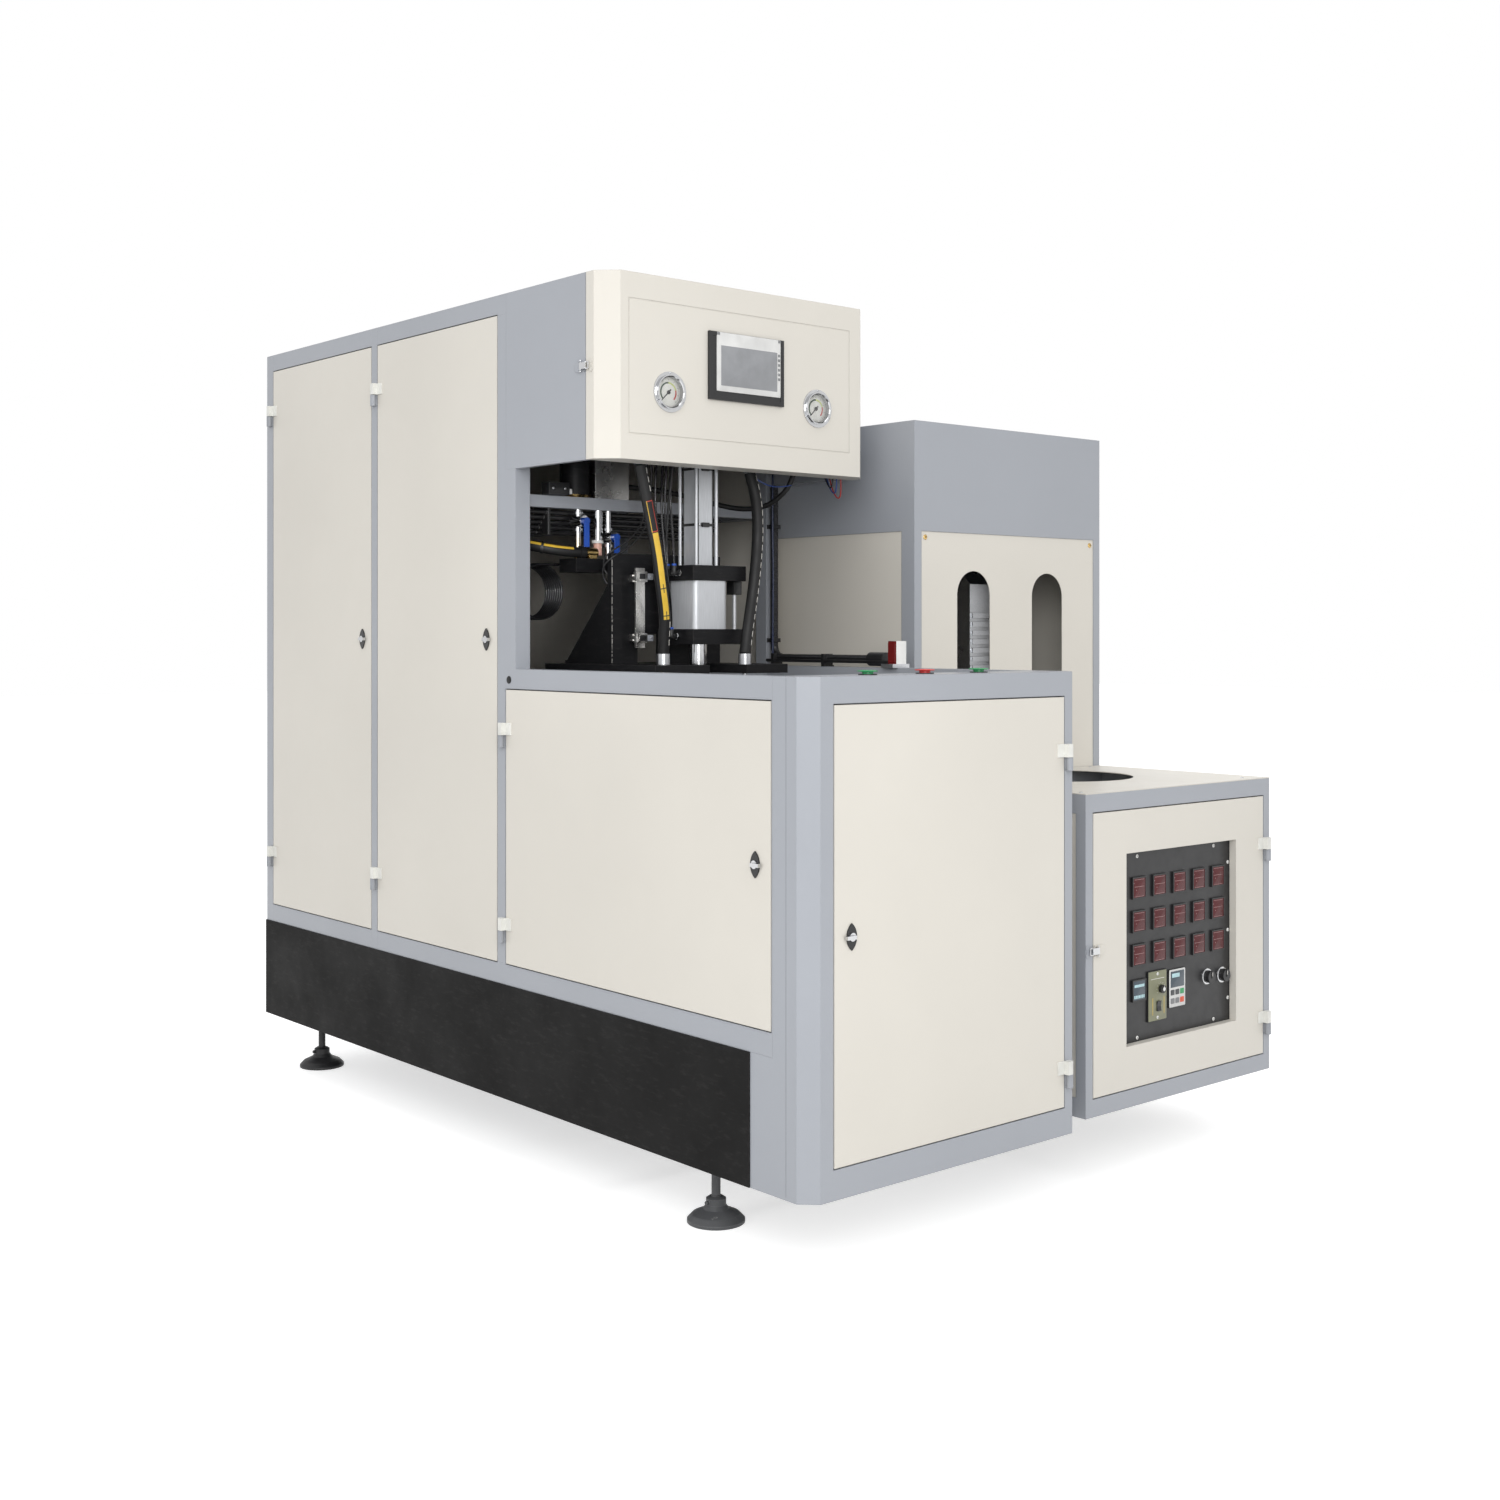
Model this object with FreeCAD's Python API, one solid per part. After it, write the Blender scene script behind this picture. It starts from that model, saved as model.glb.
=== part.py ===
import FreeCAD, Part
import math
import os
from FreeCAD import Vector

# Blow moulding machine: a blow moulder and the infrared preform heater that stands beside it.
# Millimetres, +Z up, floor at z = 0. While the pieces are built, x runs from the moulder's left
# side to the right and y from its front plane to the back. The last step moves all pieces so
# that the origin lies under the middle of the whole machine.

# ---- blow moulder: body ----
MAIN_W = 768.0          # across the side planes
MAIN_L = 2175.0         # front plane to rear plane
MAIN_H = 1908.0         # roof of the tall cabinet and of the head
BASE_Z = 128.0          # underside of the body
TABLE_Z = 1078.0        # top of the table frame
SKIRT_TOP = 380.0       # upper edge of the black skirt
SKIRT_START = 159.0     # the skirt begins this far behind the front plane
SKIRT_T = 2.5
TUBE = 38.0             # square tube of the frame
SHEET = 3.0             # folded sheet of the front cover and the head
PANEL_T = 1.5           # sheet of doors and closing panels
PANEL_IN = 2.0          # closing panels lie this far behind the tubes' faces
CHAMFER = 31.0          # slanted front corners of the body
LEDGE_D = 110.0         # depth of the ledge that carries the push buttons
TALL_Y = 949.0          # front of the tall cabinet
LOW_RAIL = 47.0         # rail above the skirt
TOP_RAIL = 45.0
TABLE_RAIL = 46.0
DIVIDER = 33.0          # post between the two tall doors
BEAM_Z = 1440.0         # underside of the cross beam behind the work area
BEAM = 27.0             # its section
BEAM_BACK = 34.0        # beam behind the front of the tall cabinet
FOOT_IN = 80.0          # foot centre from the side planes
FOOT_FRONT = 355.0      # foot centre behind the front plane
FOOT_REAR = 162.0       # foot centre in front of the rear plane

# ---- head ----
HEAD_Y = 616.0          # front plane of the hood
HEAD_Z = 1518.0         # underside of the head
HOOD_D = 67.0
HOOD_CHAMFER = 40.0
HOOD_T = 2.0
HOOD_GAP = 2.0          # seam between the hood and the cover
HOOD_LIP = 14.0
FIELD_IN = (60.0, 74.0)      # grooved field from the hood's left and right side
FIELD_UP = (53.0, 54.0)      # and from its lower and upper edge
GROOVE_W = 2.5
GROOVE_D = 0.8
SCREEN_W = 214.0             # touch panel
SCREEN_H = 147.0
SCREEN_OFF = (-5.0, 21.0)    # its centre from the middle of the hood
BEZEL_T = 7.0
BEZEL_W = 9.0
SCREEN_BODY = 38.0
GAUGE_OFF = (-216.0, 208.0)  # gauges from the middle of the hood
GAUGE_DROP = 47.0            # below its middle
GAUGE_R = 43.0
GAUGE_BODY = 32.0
GAUGE_FLANGE_T = 2.5
GAUGE_RIM_IN = 6.0      # rim inside the flange's edge
GAUGE_RIM_W = 5.0
GAUGE_RIM_OUT = 8.0     # rim in front of the hood
GAUGE_RIM_EDGE = 3.0    # width of the rim's slanted inner edge
DIAL_SINK = 4.5         # dial behind the hood's front
NEEDLE_SINK = 2.8
NEEDLE_T = 0.8
NEEDLE_TAIL = 9.0
NEEDLE_IN = 17.0        # needle's tip inside the flange's edge
NEEDLE_HALF_W = (1.5, 0.6)   # at its tail and at its tip
NEEDLE_HUB_R = 4.0
NEEDLE_HUB_T = 2.5
NEEDLE_PIN_R = 2.0
NEEDLE_PIN_L = 10.0
NEEDLE_TILT = -135.0    # needles rest at the low end of the scale
ARM = 25.0              # square tube inside the head
HOSE_BAR_Y = (725.0, 765.0)
HOSE_BAR_T = 6.0
CYLINDER_ROOM = 12.0    # free space round the stretch cylinder

# ---- doors ----
TALL_FRONT = 75.0       # posts in front of the tall doors
LOW_DOOR_FRONT = 101.0  # front edge of the low side door
FRONT_DOOR_IN = (65.0, 57.0)  # front door's edges from the side planes
FRONT_DOOR_Z = (186.0, 1026.0)
DOOR_GAP = 2.5
DOOR_D = 20.0           # depth of a door's folded edges
STOP_D = 22.0           # door stop: depth of its face
STOP_T = 3.0
STOP_W = 12.0           # how far the stop reaches behind the door
JAMB_T = 3.0

# ---- lift-off hinges ----
KNUCKLE_R = 7.0
KNUCKLE_L = 27.0
PIN_R = 4.0
RUN = 0.05              # radial running clearance of pins and shafts
HINGE_OUT = 8.0         # hinge axis in front of the face
HINGE_OFF = 8.5         # hinge axis beyond the door's edge
LEAF_W = 21.0
LEAF_T = 3.0
FACE_GAP = 0.4          # between end faces that turn on each other
TALL_HINGE_LOW = 555.0
TALL_HINGE_DROP = 165.0  # upper hinges below the roof
LOW_HINGES = (501.0, 932.0)
FRONT_HINGES = (254.0, 903.0)
HEATER_HINGES = (242.0, 650.0)
HOOD_HINGE_IN = (52.0, 68.0)  # from the hood's lower and upper edge

# ---- quarter-turn locks ----
LOCK_IN = 42.0          # lock axis from the door's free edge
LOCK_R = 8.0
LENS_H = 50.0
LENS_W = 25.0
LENS_T = 3.0
KEY_L = 19.0
KEY_H = 7.0
KEY_OUT = 8.0
CAM_L = 38.0
CAM_W = 14.0
CAM_T = 3.0
TALL_LOCK = 1143.0
LOW_LOCK = 729.0
FRONT_LOCK = 602.0

# ---- draw latches ----
LATCH_W = 24.0
LATCH_T = 1.5
LATCH_BACK = 28.0       # base plate behind the pin
LATCH_FRONT = 8.0
LATCH_PIN_OUT = 6.0
LATCH_PIN_R = 2.0
LATCH_REACH = 28.0      # pin to the far side of the loop
HOOK_OUT = 3.5
HEATER_LATCH = 483.0
LATCH_IN = 10.0         # pin from the edge of the sheet that carries it
LATCH_EAR = 4.0         # half width of the ears that hold the pin
LATCH_EAR_IN = 3.0      # ears inside the base plate's edge
LATCH_WIRE = 2.0        # loop's section
LEVER_IN = 5.0          # lever and loop inside the base plate's edge
LEVER_SHORT = 8.0       # lever ends this far before the loop
KEEPER_X = (11.0, 5.0)       # keeper's plate before and behind the loop's far side
LOBE_R = 6.0
LOBE_OFF = 2.0          # its lobes behind the loop's far side
HOOK_X = (7.0, 4.0)          # its hook before the loop's far side

# ---- push buttons ----
BUTTON_R = 20.0
BUTTON_LEFT = 203.0     # first button from the left side
BUTTON_PITCH = 155.0
BUTTON_Y = 55.0
BUTTON_STEM = 11.0
BUTTON_TRAVEL = 4.0
BUTTON_WALL = 3.0       # wall of the switch body
BUTTON_DEEP = 45.0      # switch body below the ledge
COLLAR_H = 2.0
COLLAR_W = 7.0          # collar beyond the button's stem
BUTTON_BORE = 18.0      # bore for the stem below the ledge
BUTTON_STEM_L = 12.0
BUTTON_EDGE = 1.0       # slanted edge of the cap
BUTTON_CROWN = 8.0      # width of the cap's crowned border
BUTTON_GAP = 0.5        # cap above its collar when pressed

# ---- blow unit ----
AXIS_X = MAIN_W / 2     # blow axis
AXIS_Y = 787.0
CYLINDER_GAP = 148.0    # stretch cylinder's cap seat below the roof
SEAL_SQ = 96.0          # outer square of the seal cylinder
SEAL_BORE = 38.0
SEAL_Z = (1166.0, 1275.0)
BLOCK_T = 34.0          # blocks at both ends of the seal cylinder
BLOCK_W = 154.0
BLOCK_LEFT = 56.0       # block's left side from the axis
BLOCK_OUT = 4.0         # blocks stand out in front of the cylinder
STRETCH_SQ = 52.0
STRETCH_BORE = 22.0
STRETCH_CAP = 25.0
TIE_PITCH = 58.0
TIE_R = 4.0
GUIDE_R = 4.5
GUIDE_OFF = (90.0, -20.0)    # guide rod from the blow axis
SEAL_ROD_R = 20.0
SEAL_ROD_BORE = 10.0    # blowing air passes between it and the stretch rod
SEAL_ROD_LOW = 1030.0
STRETCH_ROD_R = 6.0
STRETCH_ROD_LOW = 1036.0
PISTON_T = 20.0
SEAL_ROD_ROOM = 6.0     # piston below the end of the seal cylinder at rest
STRETCH_ROOM = 10.0     # and below the end of the stretch cylinder
NOZZLE_CONE = (4.0, 8.0)     # slanted end of the seal rod: in and up
ROD_CONE = (2.0, 4.0)        # and of the stretch rod
SEAL_CORNER = 12.0      # rounded corners of the seal cylinder
STRETCH_CORNER = 8.0    # and of the stretch cylinder
CAP_EDGE = 2.0          # stretch cylinder's cap beyond its tie rods
COLUMN_OUT = (181.0, 133.0)  # upright plate: left and right edge from the axis
COLUMN_Y = 870.0
COLUMN_T = 16.0
COLUMN_TOP = 1336.0
COLUMN_HOLE = (109.0, 44.0, 68.0)    # cut-out at its foot: edges left of the axis, height
GUSSET_D = 158.0
GUSSET_H = 177.0
GUSSET_T = 12.0
FOOT_PLATE_OUT = (204.0, 176.0)      # foot plate: left and right edge from the axis
FOOT_PLATE_FRONT = 680.0
FOOT_PLATE_BACK = 151.0              # behind the front of the tall cabinet
FOOT_PLATE_Z = 1067.0
FOOT_PLATE_T = 20.0
SLOT_HALF = 54.0        # open slot of the foot plate round the blow axis
SLOT_END = 73.0
GUSSET_TOE = 8.0
SENSOR_LEFT = 125.0     # flat bar for the cylinder switches, left of the axis
SENSOR_FREE = 32.0      # its face in front of the upright plate
SENSOR_Z = (1124.0, 1303.0)
SENSOR_W = 25.0
SENSOR_T = 6.0
SENSOR_LUG_T = 4.0      # lips of its clamps
SENSOR_CLAMP_H = 16.0
SENSOR_END = 15.0       # clamps from the bar's ends

# ---- mould and clamp ----
MOULD_T = 75.0
MOULD_HALF_W = 115.0
MOULD_Z = (720.0, 975.0)
MOULD_GAP = 0.3         # parting line to each half
CAVITY_R = 42.0
CAVITY_FLOOR = 15.0     # mould below the cavity
CAVITY_EDGE = 5.0       # rounded foot of the bottle
SHOULDER = (95.0, 72.0, 40.0)        # below the mould's top: shoulder, its knee, neck
SHOULDER_IN = 6.0       # knee inside the body's wall
NECK_R = 14.0
PLATEN_T = 30.0
PLATEN_HALF_W = 170.0
PLATEN_Z = (690.0, 1000.0)
PLATEN_LIFT = 1.0       # platens run clear of the beams
TIE_BAR_R = 15.0
TIE_BAR_Y = 140.0
TIE_BAR_Z = (735.0, 965.0)
END_PLATE_T = 25.0
END_PLATE_IN = 44.0     # end plates from the side planes
CLAMP_SQ = 120.0
CLAMP_L = 95.0
CLAMP_ROD_R = 16.0
CLAMP_ROD_IN = 12.0     # rod inside its cylinder at rest beyond the stroke
CLAMP_CORNER = 16.0

# ---- cabinet ----
TANK_R = 160.0
TANK_X = 215.0
TANK_BACK = 315.0       # tank's axis in front of the rear plane
TANK_Z = (420.0, 1060.0)
DOME = 60.0
TANK_LEG = 26.0
TANK_LEGS = 3
LEG_LAP = 10.0          # legs up the tank's side
TANK_PORT = 24.0        # port above the tank
TANK_WALL = 4.0
PLATE_IN = 90.0         # mounting plate of the switch gear from the side planes
PLATE_LOW = 1050.0
PLATE_DROP = 18.0       # its upper edge below the roof
PLATE_EDGE = 30.0       # free edge beside the switch gear
GEAR_DOWN = (0.25, 0.476, 0.667, 0.881)      # rows of switch gear: share of the plate down
GEAR_H = (120.0, 100.0, 90.0, 60.0)
GEAR_D = (90.0, 70.0, 60.0, 45.0)
GEAR_W = (80.0, 45.0, 160.0, 500.0)
GEAR_COUNT = (5, 9, 3, 1)

# ---- bars behind the beam ----
TRAY_BARS = 5
TRAY_BAR_R = 5.0
TRAY_STEP = (10.0, 11.0)     # each bar behind and below the one before
TRAY_FIRST = (10.0, 8.0)     # first bar behind the beam and below its underside
TRAY_EDGE = 7.0              # hanger's edge round the outer bars
TRAY_RISE = 20.0             # hanger beside the beam
TRAY_T = 6.0
TRAY_X = (44.0, 640.0)
TRAY_HANGERS = (130.0, 600.0)

# ---- hoses, tubes, valves ----
HOSE_R = 13.0
FERRULE_R = 15.0
HOSE_TOP_L = 22.0       # ferrule under the hose bar
HOSE_END_L = 24.0       # ferrule on the foot plate
STUD_R = 6.0
STUD_OUT = 14.0         # studs below the foot plate
COLLAR_L = 8.0          # collar of the upper ferrules
COLLAR_R = 17.0
PORT_FREE = 6.0         # block's air tube ends this far from the block
PORT_UP = 16.0          # and above the seal cylinder
FEED_R = 12.0
AIR_TUBE_R = 3.0
COIL_LOOPS = 8
COIL_R = 62.0
COIL_PITCH = 9.0
COIL_X = 128.0
COIL_BACK = 93.0        # middle of the coil behind the beam's front
COIL_Z = 1252.0
COIL_TURN = 8           # arcs to a turn
TAIL_BACK = 59.0        # tube's gland behind the front of the tall cabinet
CONDUIT_R = 9.5
CABLE_R = 4.0
WIRES_R = 6.0           # bundle of wires
COIL_PORT_X = 236.0     # port of the coiled tube on the manifold
UNION_OUT = 7.0         # feed hose's union on the manifold, in front of the beam
CONDUIT_IN = 21.0       # conduit's axis from the right side
CONDUIT_OUT = 11.0      # in front of its post
CONDUIT_UP = 19.0       # above the table
CONDUIT_END = 548.0
CONDUIT_BEND = 31.0
CONDUIT_NUT_R = 16.0
CONDUIT_NUT_L = 52.0
CONDUIT_CLIP = 10.0     # width of its clips
CLIP_LEG = 11.0         # clip's half width round the conduit
CLIP_EAR = 15.0         # and over its screwed ear
CLIP_DOWN = 99.0        # upper clip below the head
CLIP_UP = 62.0          # lower clip above the table
CLIP_BACK = 24.0        # rear clip on the table, in front of the tall cabinet
CLIP_AHEAD = 197.0      # front clip behind the conduit's end
CABLE_OFF = (-14.0, -6.0)    # thin cable beside the conduit
CABLE_FRONT = 526.0
EYE_Y = (500.0, 526.0)       # preform sensor on the table
EYE_H = 52.0
EYE_CUT = 6.0                # its slanted corners
EYE_WINDOW = 3.0
EYE_EDGE = 4.0
EYE_SEAT = 9.0               # its bracket
RISER_R = 8.0
VALVE_R = 13.0
VALVE_L = 42.0
VALVE_FRONT = 28.0      # valve's front end from the risers' axis
VALVE_STEM_R = 4.0
VALVE_SEAT = 18.0       # depth of the stem's bore
VALVE_NUT = 22.0        # outer face of the valve's nuts from its axis
VALVE_HUB = 10.0
FITTING_NUT = 6.0
BLADE_W = 14.0
BLADE_T = 3.0
BLADE_L = (59.0, 65.0)  # handles' length below the stem
UNION_R = 12.0
UNION_L = 30.0
UNION_SEAT = (5.0, 10.0)     # its seat: from the hose's end, height
PORT_L = 13.0                # coil's port behind the manifold
MANIFOLD_BACK = 47.0         # manifold's rear face behind the beam's front
DRAIN_R = 11.0
DRAIN_CAP_R = 13.75
DRAIN_TIP_R = 9.9
DRAIN_Z = (1336.0, 1364.0, 1371.0)   # tip, cap and collar of the drain
AIR_BOX_D = (2.0, 62.0)      # air control box behind the beam's front
AIR_BOX_H = 133.0
BOWL_X = 200.0               # filter bowl on the beam
BOWL_R = 34.0
BOWL_H = 93.0
BOWL_NECK_R = 20.0
BOWL_FOOT = (4.08, 6.12)     # slanted foot of the bowl: in and up
BOWL_SHOULDER = 13.0         # height of its slanted shoulder
GLAND_R = 7.0
VALVE_X = (199.0, 284.0)
VALVE_Z = (1412.0, 1378.0)
DRAIN_X = 255.0
MANIFOLD_X = (172.0, 300.0)
MANIFOLD_Z = (1296.0, 1327.0)
AIR_BOX_X = (240.0, 336.0)

# ---- preform heater ----
HEATER_GAP = 65.0       # between the two units
HEATER_W = 682.0
HEATER_Y = 42.0         # its front plane behind the moulder's
HEATER_L = 1651.0
HEATER_Z = 130.0
DESK_D = 501.0          # depth of the low cabinet in front of the oven
DESK_Z = 815.0
OVEN_Z = 1653.0
BAND_Z = 1438.0         # underside of the gray top hood
BAND_T = 2.0
H_POST = 26.0
H_RAIL = 41.0
OVEN_POST = 24.0
OVEN_POST_D = 42.0
ARCH_R = 58.0
ARCH_X = (206.0, 477.0)  # arch centres from the heater's left side
ARCH_TOP = 1306.0
ARCH_FOOT = 850.0
SCREW_R = 4.0
SCREW_IN = 14.0          # screws from the top corners of the oven's front
WELL_R = 178.0           # round hole in the desk plate
WELL_X = 341.0
WELL_Y = 358.0
H_DOOR_Z = (170.0, 774.0)
WINDOW_X = (139.0, 547.0)  # window in the heater door, from the heater's left side
WINDOW_Z = (262.0, 680.0)
WINDOW_D = 19.0
BOARD_EDGE = 12.0
BOARD_T = 2.0
METER = 48.0
METER_OUT = 5.0
METER_BODY = 44.0
METER_DEPTH = 60.0
METER_COLS = 5
METER_ROWS = 3
METER_X = 204.0          # first column from the heater's left side
METER_Z = 599.0
METER_DX = 73.5
METER_DZ = 73.7
KNOB_X = (460.0, 518.0)
KNOB_Z = (372.0, 369.0)
KNOB_R = 14.0
KNOB_H = 14.0
SHAFT_R = 3.0
SPEED_X = 269.0          # speed control plate
SPEED_Z = 354.0
SPEED_W = 67.0
SPEED_H = 111.0
DIAL_OFF = (12.0, 14.0)  # its knob from the plate's centre
DIAL_R = 9.0
DIAL_H = 8.0
ROCKER_OFF = (3.0, -23.0)
ROCKER_W = 14.0
ROCKER_H = 22.0
ROCKER_PIN = 1.5
ROCKER_OUT = 8.0         # ends of the rocker in front of the board
ROCKER_DIP = 2.0         # hollow between them
ROCKER_BACK = 3.0        # its back behind the board's face
ROCKER_ROOM = (1.0, 4.0)     # cut-out larger than the rocker: across and up
PIN_REACH = 2.5          # cross pin beyond the rocker's sides
PIN_SINK = 2.0           # in front of the board's face
CUT_DEPTH = 9.0          # cutters through the board
POINTER_W = 3.0
POINTER_OUT = 1.5        # raised pointer on a knob
SHAFT_BACK = 10.0        # knob's shaft behind the board
LAMP_X = (352.0, 429.0)
LAMP_Y = (690.0, 1110.0)
LAMP_Z = (930.0, 1340.0)
LAMP_SLATS = 15
LAMP_PITCH = 21.9
LAMP_SLOPE = (55.0, 59.0)  # slanted upper front edge: back and down
LAMP_SIDE = 4.0
SLAT_OUT = 6.0
SLAT_H = 13.0
HANGER = 30.0
CAROUSEL_Y = 900.0
CAROUSEL_Z = 860.0
CAROUSEL_R = 285.0
CAROUSEL_T = 10.0
MANDRELS = 20
MANDREL_R = 10.0
MANDREL_H = 45.0
MANDREL_PITCH_R = 268.0
SPINDLE_R = 20.0
SPINDLE_SEAT = 45.0     # spindle's end above the gearbox's foot
SPINDLE_TOP = 12.0      # above the disc
GEARBOX_Z = (700.0, 850.0)
GEARBOX_HALF = 90.0
KEYPAD_AT = (343.0, 362.0)
KEYPAD_W = 60.0
KEYPAD_H = 85.0
KEYPAD_T = 3.0
SPEED_T = 4.0
METER_RIM = 3.0
LAMP_SLAT_TOP = 1195.0
STRAP_X = (142.0, 536.0)   # straps that carry the control panel
STRAP_W = 18.0
DESK_T = 2.0

# ---- feet ----
FOOT_R = 57.5
FOOT_NECK_R = 20.0
FOOT_BELL_H = 50.0
FOOT_RIM_H = 6.0
FOOT_CONE_H = (16.0, 26.0, 34.0)     # heights where the bell's slope changes
FOOT_CONE_R = 0.83      # bell's radius at the first of them, as a share of its rim
FOOT_EDGE = 4.0         # slanted upper edge of the neck
FOOT_SCREW_L = 10.0     # side screw in the neck
STEM_R = 9.0
NUT_R = 16.0
NUT_H = 12.0
NUT_DOWN = 10.0         # lock nut below the frame
HEATER_FEET_Y = (600.0, 1600.0)
HEATER_FOOT_IN = 70.0

# ---- places that follow from the sizes above ----
LOW_TOP = SKIRT_TOP + LOW_RAIL
TALL_DOOR_Z = (LOW_TOP, MAIN_H - TOP_RAIL)
LOW_DOOR_Z = (LOW_TOP, TABLE_Z - TABLE_RAIL)
REAR_HINGE_Y = MAIN_L - TUBE                            # hinge edge of the rear tall door
TALL_DOOR_W = (REAR_HINGE_Y - DIVIDER - TALL_Y - TALL_FRONT) / 2
FRONT_HINGE_Y = REAR_HINGE_Y - TALL_DOOR_W - DIVIDER    # hinge edge of the front tall door
LOW_DOOR_Y = (LOW_DOOR_FRONT, TALL_Y + TUBE)
FRONT_DOOR_X = (FRONT_DOOR_IN[0], MAIN_W - FRONT_DOOR_IN[1])
TALL_HINGES = (TALL_HINGE_LOW, MAIN_H - TALL_HINGE_DROP)
FRAME_EDGE = DOOR_GAP + JAMB_T                          # door edge to the jamb's back
STRIP_END = LOW_DOOR_Y[0] - FRAME_EDGE
HEAD_END = TALL_Y + TUBE                                # rear edge of the head's cover
HEAD_MID = (HEAD_Z + MAIN_H) / 2
HEAD_LATCH = HEAD_MID
HOOD_HINGES = (HEAD_Z + HOOD_HINGE_IN[0], MAIN_H - HOOD_HINGE_IN[1])
FIELD_X = (FIELD_IN[0], MAIN_W - FIELD_IN[1])
FIELD_Z = (HEAD_Z + FIELD_UP[0], MAIN_H - FIELD_UP[1])
SCREEN_AT = (AXIS_X + SCREEN_OFF[0], HEAD_MID + SCREEN_OFF[1])
SCREEN_X = (SCREEN_AT[0] - SCREEN_W / 2, SCREEN_AT[0] + SCREEN_W / 2)
SCREEN_Z = (SCREEN_AT[1] - SCREEN_H / 2, SCREEN_AT[1] + SCREEN_H / 2)
GAUGE_X = (AXIS_X + GAUGE_OFF[0], AXIS_X + GAUGE_OFF[1])
GAUGE_Z = HEAD_MID - GAUGE_DROP
BUTTON_X = tuple(BUTTON_LEFT + BUTTON_PITCH * k for k in range(3))
STRETCH_TOP = MAIN_H - CYLINDER_GAP
COLUMN_X = (AXIS_X - COLUMN_OUT[0], AXIS_X + COLUMN_OUT[1])
BLOCK_X = AXIS_X - BLOCK_LEFT
FOOT_PLATE_X = (AXIS_X - FOOT_PLATE_OUT[0], AXIS_X + FOOT_PLATE_OUT[1])
FOOT_PLATE_Y = (FOOT_PLATE_FRONT, TALL_Y + FOOT_PLATE_BACK)
SENSOR_X = AXIS_X - SENSOR_LEFT
SENSOR_Y = COLUMN_Y - SENSOR_FREE
BEAM_Y = TALL_Y + BEAM_BACK
UNION_Y = BEAM_Y - UNION_OUT
COIL_AT = (COIL_X, BEAM_Y + COIL_BACK, COIL_Z)
TAIL_Y = TALL_Y + TAIL_BACK
VALVE_Y = BEAM_Y + BEAM / 2
CONDUIT_X = MAIN_W - CONDUIT_IN
TANK_AT = (TANK_X, MAIN_L - TANK_BACK)
PLATE_X = (PLATE_IN, MAIN_W - PLATE_IN)
PLATE_Z = (PLATE_LOW, MAIN_H - PLATE_DROP)
COVER_Y = HEAD_Y + HOOD_D + HOOD_GAP
ARM_Y = COVER_Y + SHEET
ARM_X = (SHEET, MAIN_W - SHEET - ARM)
ARM_LOW = HEAD_Z + SHEET
HOSE_BAR_Z = ARM_LOW + ARM
HX = MAIN_W + HEATER_GAP                                # heater's left side plane
HEATER_REAR = HEATER_Y + HEATER_L
OVEN_Y = HEATER_Y + DESK_D
BOARD_Y = HEATER_Y + WINDOW_D                           # face of the control panel
FOOT_TOP = FOOT_PLATE_Z + FOOT_PLATE_T
HOSE_LOW = FOOT_TOP + HOSE_END_L                        # hoses' ends over the foot plate
MOULD_BEAM_Z = PLATEN_Z[0] - TUBE
END_PLATES = (END_PLATE_IN, MAIN_W - END_PLATE_IN - END_PLATE_T)
CLAMP_Z = (PLATEN_Z[0] + PLATEN_Z[1]) / 2
CLAMP_TIP = AXIS_X - END_PLATE_IN - END_PLATE_T - CLAMP_L    # cylinder's inner end from axis
CAROUSEL_X = HX + HEATER_W / 2

parts = {}


# ---------------------------------------------------------------- helpers
def box(x0, x1, y0, y1, z0, z1):
    """Block between two corners, given in any order."""
    xa, xb = sorted((x0, x1))
    ya, yb = sorted((y0, y1))
    za, zb = sorted((z0, z1))
    return Part.makeBox(xb - xa, yb - ya, zb - za, Vector(xa, ya, za))


def rod(radius, start, axis, length):
    """Round bar from a point along an axis."""
    return Part.makeCylinder(radius, length, Vector(*start), Vector(*axis))


def prism(points, z0, z1):
    """Upright prism over an outline in x and y."""
    wire = Part.makePolygon([Vector(x, y, z0) for x, y in points + points[:1]])
    return Part.Face(wire).extrude(Vector(0, 0, z1 - z0))


def join(shapes):
    """One solid of touching or overlapping shapes."""
    shapes = list(shapes)
    if len(shapes) == 1:
        return shapes[0]
    return shapes[0].multiFuse(shapes[1:]).removeSplitter()


def group(shapes):
    """Separate solids of one kind kept under one name."""
    return Part.makeCompound(list(shapes))


def turned(profile, centre, axis=(0, 0, 1)):
    """Solid of revolution: the profile is (radius, height) pairs, heights along the axis."""
    wire = Part.makePolygon([Vector(r, 0, h) for r, h in profile + profile[:1]])
    solid = Part.Face(wire).revolve(Vector(0, 0, 0), Vector(0, 0, 1), 360)
    turn = FreeCAD.Rotation(Vector(0, 0, 1), Vector(*axis))
    solid.Placement = FreeCAD.Placement(Vector(*centre), turn)
    return solid


def round_edges(shape, radius, axis):
    """Rounds the straight edges of a block that run along one axis (0, 1 or 2)."""
    picked = []
    for edge in shape.Edges:
        run = edge.Vertexes[-1].Point - edge.Vertexes[0].Point
        if abs(run[axis]) > 0.9 * run.Length:
            picked.append(edge)
    return shape.makeFillet(radius, picked)


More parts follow.
